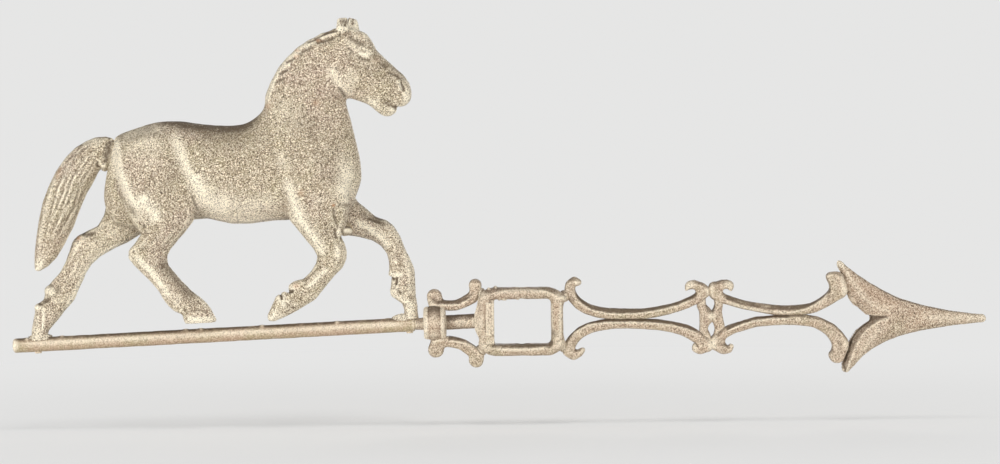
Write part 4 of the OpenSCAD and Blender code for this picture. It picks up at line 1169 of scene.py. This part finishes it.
def sculpt_scroll(node):
    """Strokes for one scroll bar or link."""
    def sculpt(s):
        if node in CURL_HOOKS:
            place, pull = CURL_HOOKS[node]
            px, py, _ = s.seen("through")
            near = np.exp(-((px - place[0]) ** 2 + (py - place[1]) ** 2) / HOOK_REACH_SQUARED)
            s.points[:, 0] += pull[0] * PIXEL * near
            s.points[:, 2] -= pull[1] * PIXEL * near
        # Painted shade over the upper curl
        if node in CURL_TOP_SHADES:
            s.stroke(CURL_TOP_SHADES[node], 1.8, 0, "through", grime_and_shade=0.8, ends=0.1)
        for middle, size, height in CONTACTS.get(node, ()):
            s.spot(middle, size, height, "through")
        # Painted shade along the upper side of the bar, and a painted highlight just below it
        if node in SHADE_STRIPS:
            width, grime_and_shade, line = SHADE_STRIPS[node]
            s.stroke(line, 0.85 * width, -0.4, "both", grime_and_shade=grime_and_shade, ends=0.05)
            s.stroke([(x, y + 1.7 * width) for x, y in line], 1.1, 0.15, "both", wear_and_highlight=0.55, ends=0.1)
    return sculpt


# Arrowhead: the column where the barbs end, the row of the groove between them, the half width of a ridge,
# the pixels over which a facet falls by its depth, and the share of the depth where it stops
BARBS_END = 889
GROOVE_ROW = 316.4
RIDGE_WIDTH = 2.2
FACET_RUN = 9.5
FACET_FLOOR = 1.15
# Ridge of each barb, a pixel inside it, which way its groove lies, and its facet's depth in mm and share of painted
# shade
FACETS = (
    ([(843, 263), (851, 280.6), (863.5, 297), (874, 306), (890, 312.5)], (845, 300), -1, 0.7, 0.05),
    ([(889, 318), (879, 321.6), (867.6, 329), (860, 339), (855, 349.5), (849, 364)], (850, 330), 1, 2.2, 0.72),
)


def sculpt_arrow_head(s):
    """Facets that slope down from a ridge to the inner edge of each barb and to the groove between them."""
    s.side = "through"
    s.stroke([(841, 276), (847.5, 293), (858, 309)], 3.5, 1.3)
    s.stroke([(866, 322), (854, 334), (849, 350)], 3.5, 0.5)
    for middle in ((839.5, 265), (846, 368)):
        s.spot(middle, (4, 4), 1.0, wear_and_highlight=0.4)
    s.write()
    px, py, reach = s.seen("both")
    # Each facet sinks and takes painted shade, and each ridge a painted highlight
    for line, inside, groove_hand, depth, grime_and_shade in FACETS:
        away, _, hand = line_distance(line, px, py)
        on_barb = (px < BARBS_END) * reach
        down = away * (hand == hand_of(line, inside)) * (groove_hand * (py - GROOVE_ROW) > 0) * on_barb
        s.move(np.clip(down / FACET_RUN, 0, FACET_FLOOR), -depth)
        s.mark(smoothstep(0, RIDGE_WIDTH, down), grime_and_shade, 0, 0)
        s.mark(np.exp(-((away / RIDGE_WIDTH) ** 2)) * on_barb, 0, 0.4, 0)
    s.write()
    # Softer where the upper barb meets the spear
    inner = np.exp(-(((px - 858) / 12) ** 2) - ((py - 304) / 16) ** 2)
    smooth(s.piece, rounds=16, weights=np.clip(1.6 * inner, 0, 1))
    s.read()
    # Painted shade in the groove between the barbs, and painted highlights on the lower barb and along the spear
    s.stroke([(868, 317), (877, 317.6), (888, 316.4)], 1.2, -0.3, "both", grime_and_shade=0.85, ends=0.15)
    s.stroke([(886, 323), (874, 334), (864, 350), (854, 366)], 4.5, 0, "both", wear_and_highlight=0.4)
    s.stroke([(920, 318), (960, 317), (984, 317)], 4, 0, "both", wear_and_highlight=0.5)
    s.spot((981, 316.5), (6, 5), 0, wear_and_highlight=0.7)
    s.stroke([(858, 281), (878, 296), (904, 306)], 5, 0, "both", rust=0.1)


class VANE_OT_tang(bpy.types.Operator):
    """Builds the tang, the collar and the sleeve in line with the bar"""

    bl_idname = "vane.tang"
    bl_label = "Tang, collar and sleeve"

    def execute(self, context):
        grid = settings().casting.arrow_grid
        for node in ("arrow_tang", "collar", "tang_sleeve"):
            plain_casting(node, grid, "arrow casting", "arrow_casting", rounds=5, lumps=(3 * MM, 0.25 * MM),
                          sculpt=sculpt_collar)
        return {"FINISHED"}


class VANE_OT_yoke(bpy.types.Operator):
    """Builds the yoke with the rod's bore"""

    bl_idname = "vane.yoke"
    bl_label = "Yoke"

    def execute(self, context):
        grid = settings().casting.arrow_grid
        plain_casting("yoke", grid, "arrow casting", "arrow_casting", rounds=16, lumps=(5 * MM, 0.4 * MM),
                      sculpt=sculpt_yoke)
        return {"FINISHED"}


class VANE_OT_scrolls(bpy.types.Operator):
    """Builds the scroll bars and the two links between them"""

    bl_idname = "vane.scrolls"
    bl_label = "Scrolls and links"

    def execute(self, context):
        scrolls = [f"{end}_scroll_{level}" for end in ("rear", "front", "head") for level in ("upper", "lower")]
        for node in scrolls + ["rear_link", "front_link"]:
            rounds = 14 if node.endswith("link") else 45
            plain_casting(node, settings().casting.arrow_grid, "arrow casting", "arrow_casting", rounds,
                          lumps=(4 * MM, 0.3 * MM), sculpt=sculpt_scroll(node), swell=0.15,
                          tips=CURL_TIPS.get(node, ()))
        return {"FINISHED"}


class VANE_OT_arrow_head(bpy.types.Operator):
    """Builds the arrowhead with its two barbs"""

    bl_idname = "vane.arrow_head"
    bl_label = "Arrowhead"

    def execute(self, context):
        plain_casting("arrow_head", settings().casting.arrow_grid, "arrowhead casting", "arrow_casting", rounds=8,
                      lumps=(4 * MM, 0.35 * MM), sculpt=sculpt_arrow_head)
        return {"FINISHED"}


# Stage


FLOOR_RADIUS = 6
# Distances from the middle between which the floor that the camera sees goes over into the backdrop
FLOOR_FADE = (-0.5, 0.8)
CLOSEST_SEEN = 50 * MM
VANE_MIDDLE = (-0.05, 0, 0.05)
# Soft round lamps: place, target, size, and share of the lamp power
LAMPS = {
    "left lamp": ((-1.35, -0.95, 0.0), VANE_MIDDLE, 0.6, 0.93),
    "right lamp": ((0.85, -1.2, 0.0), VANE_MIDDLE, 0.6, 0.62),
    "low lamp": ((-0.1, -1.0, 0.0), (-0.05, 0, 0.1), 0.5, 0.12),
    "top lamp": ((0.1, -0.35, 1.4), VANE_MIDDLE, 0.6, 0.25),
    "back lamp": ((0.3, 1.5, 0.55), VANE_MIDDLE, 1.0, 0.5),
}


def soft_lamp(name, place, target, size, power):
    lamp = bpy.data.lights.new(name, "AREA")
    lamp.shape = "DISK"
    lamp.size = size
    lamp.energy = power
    holder = add_object(name, lamp)
    holder.location = place
    holder.rotation_euler = (Vector(target) - Vector(place)).to_track_quat("-Z", "Y").to_euler()


class VANE_OT_stage(bpy.types.Operator):
    """Sets the floor, the soft lamps, the room light and the camera"""

    bl_idname = "vane.stage"
    bl_label = "Stage"

    def execute(self, context):
        stage = settings().stage
        scene = context.scene
        self.make_floor(stage)
        for name, (place, target, size, share) in LAMPS.items():
            soft_lamp(name, place, target, size, share * stage.lamp_power)
        self.make_world(scene, stage)
        self.make_camera(scene, stage)
        scene.view_settings.view_transform = "Standard"
        return {"FINISHED"}

    def make_floor(self, stage):
        shape = bmesh.new()
        bmesh.ops.create_circle(shape, cap_ends=True, segments=96, radius=FLOOR_RADIUS)
        bmesh.ops.translate(shape, verts=shape.verts, vec=(0, 0, stage.floor_height))
        floor = object_from(shape, "floor")
        material = bpy.data.materials.new("pale floor")
        n = Nodes(material)
        where = n.add("ShaderNodeTexCoord", "place").outputs["Object"]
        away = n.add("ShaderNodeVectorMath", "away", {0: where}, operation="LENGTH").outputs["Value"]
        plain = n.add("ShaderNodeBsdfDiffuse", "paper", {"Color": (*stage.floor_colour, 1)})
        pale = n.add("ShaderNodeEmission", "far off", {"Color": BACKDROP})
        seen = n.add("ShaderNodeLightPath", "seen").outputs["Is Camera Ray"]
        share = n.maths("far share", "MULTIPLY", n.ramp("distance", away, *FLOOR_FADE), seen)
        mixed = n.add("ShaderNodeMixShader", "floor", {0: share, 1: plain.outputs[0], 2: pale.outputs[0]})
        n.add("ShaderNodeOutputMaterial", "surface", {"Surface": mixed.outputs[0]})
        floor.data.materials.append(material)

    def make_world(self, scene, stage):
        world = bpy.data.worlds.new("studio")
        scene.world = world
        n = Nodes(world)
        light = n.add("ShaderNodeBackground", "room light", {"Strength": stage.room_light})
        backdrop = n.add("ShaderNodeBackground", "backdrop", {"Color": BACKDROP})
        seen = n.add("ShaderNodeLightPath", "seen").outputs["Is Camera Ray"]
        mixed = n.add("ShaderNodeMixShader", "room", {0: seen, 1: light.outputs[0], 2: backdrop.outputs[0]})
        n.add("ShaderNodeOutputWorld", "surface", {"Surface": mixed.outputs[0]})

    def make_camera(self, scene, stage):
        camera = bpy.data.cameras.new("camera")
        camera.sensor_width = SENSOR / MM
        camera.lens = SENSOR / MM * stage.camera_distance / PICTURE_WIDTH
        camera.clip_start = CLOSEST_SEEN
        holder = add_object("camera", camera)
        place = CAMERA_TARGET - Vector((0, stage.camera_distance, 0))
        level = Matrix.Rotation(math.radians(90), 4, "X")
        roll = Matrix.Rotation(-CAMERA_ROLL, 4, "Z")
        holder.matrix_world = Matrix.Translation(place) @ level @ roll
        scene.camera = holder


PIECE_OPERATORS = (
    VANE_OT_horse, VANE_OT_tail, VANE_OT_solder, VANE_OT_bar, VANE_OT_tang, VANE_OT_yoke,
    VANE_OT_scrolls, VANE_OT_arrow_head, VANE_OT_stage,
)


class VANE_PT_panel(bpy.types.Panel):
    """Lists the steps that build the weathervane"""

    bl_idname = "VANE_PT_panel"
    bl_label = "Horse weathervane"
    bl_space_type = "VIEW_3D"
    bl_region_type = "UI"
    bl_category = "Weathervane"

    def draw(self, context):
        for group in (settings().casting, settings().finish, settings().stage):
            box = self.layout.box()
            for name in group.__annotations__:
                box.prop(group, name)
        for operator in PIECE_OPERATORS:
            self.layout.operator(operator.bl_idname)


CLASSES = (
    CastingSettings, FinishSettings, StageSettings, WeathervaneSettings, *PIECE_OPERATORS, VANE_PT_panel,
)


def register():
    for cls in CLASSES:
        bpy.utils.register_class(cls)
    bpy.types.Scene.weathervane = PointerProperty(type=WeathervaneSettings)


def unregister():
    del bpy.types.Scene.weathervane
    for cls in reversed(CLASSES):
        bpy.utils.unregister_class(cls)


def main():
    register()
    for operator in PIECE_OPERATORS:
        group, name = operator.bl_idname.split(".")
        getattr(getattr(bpy.ops, group), name)()


if __name__ == "__main__":
    main()
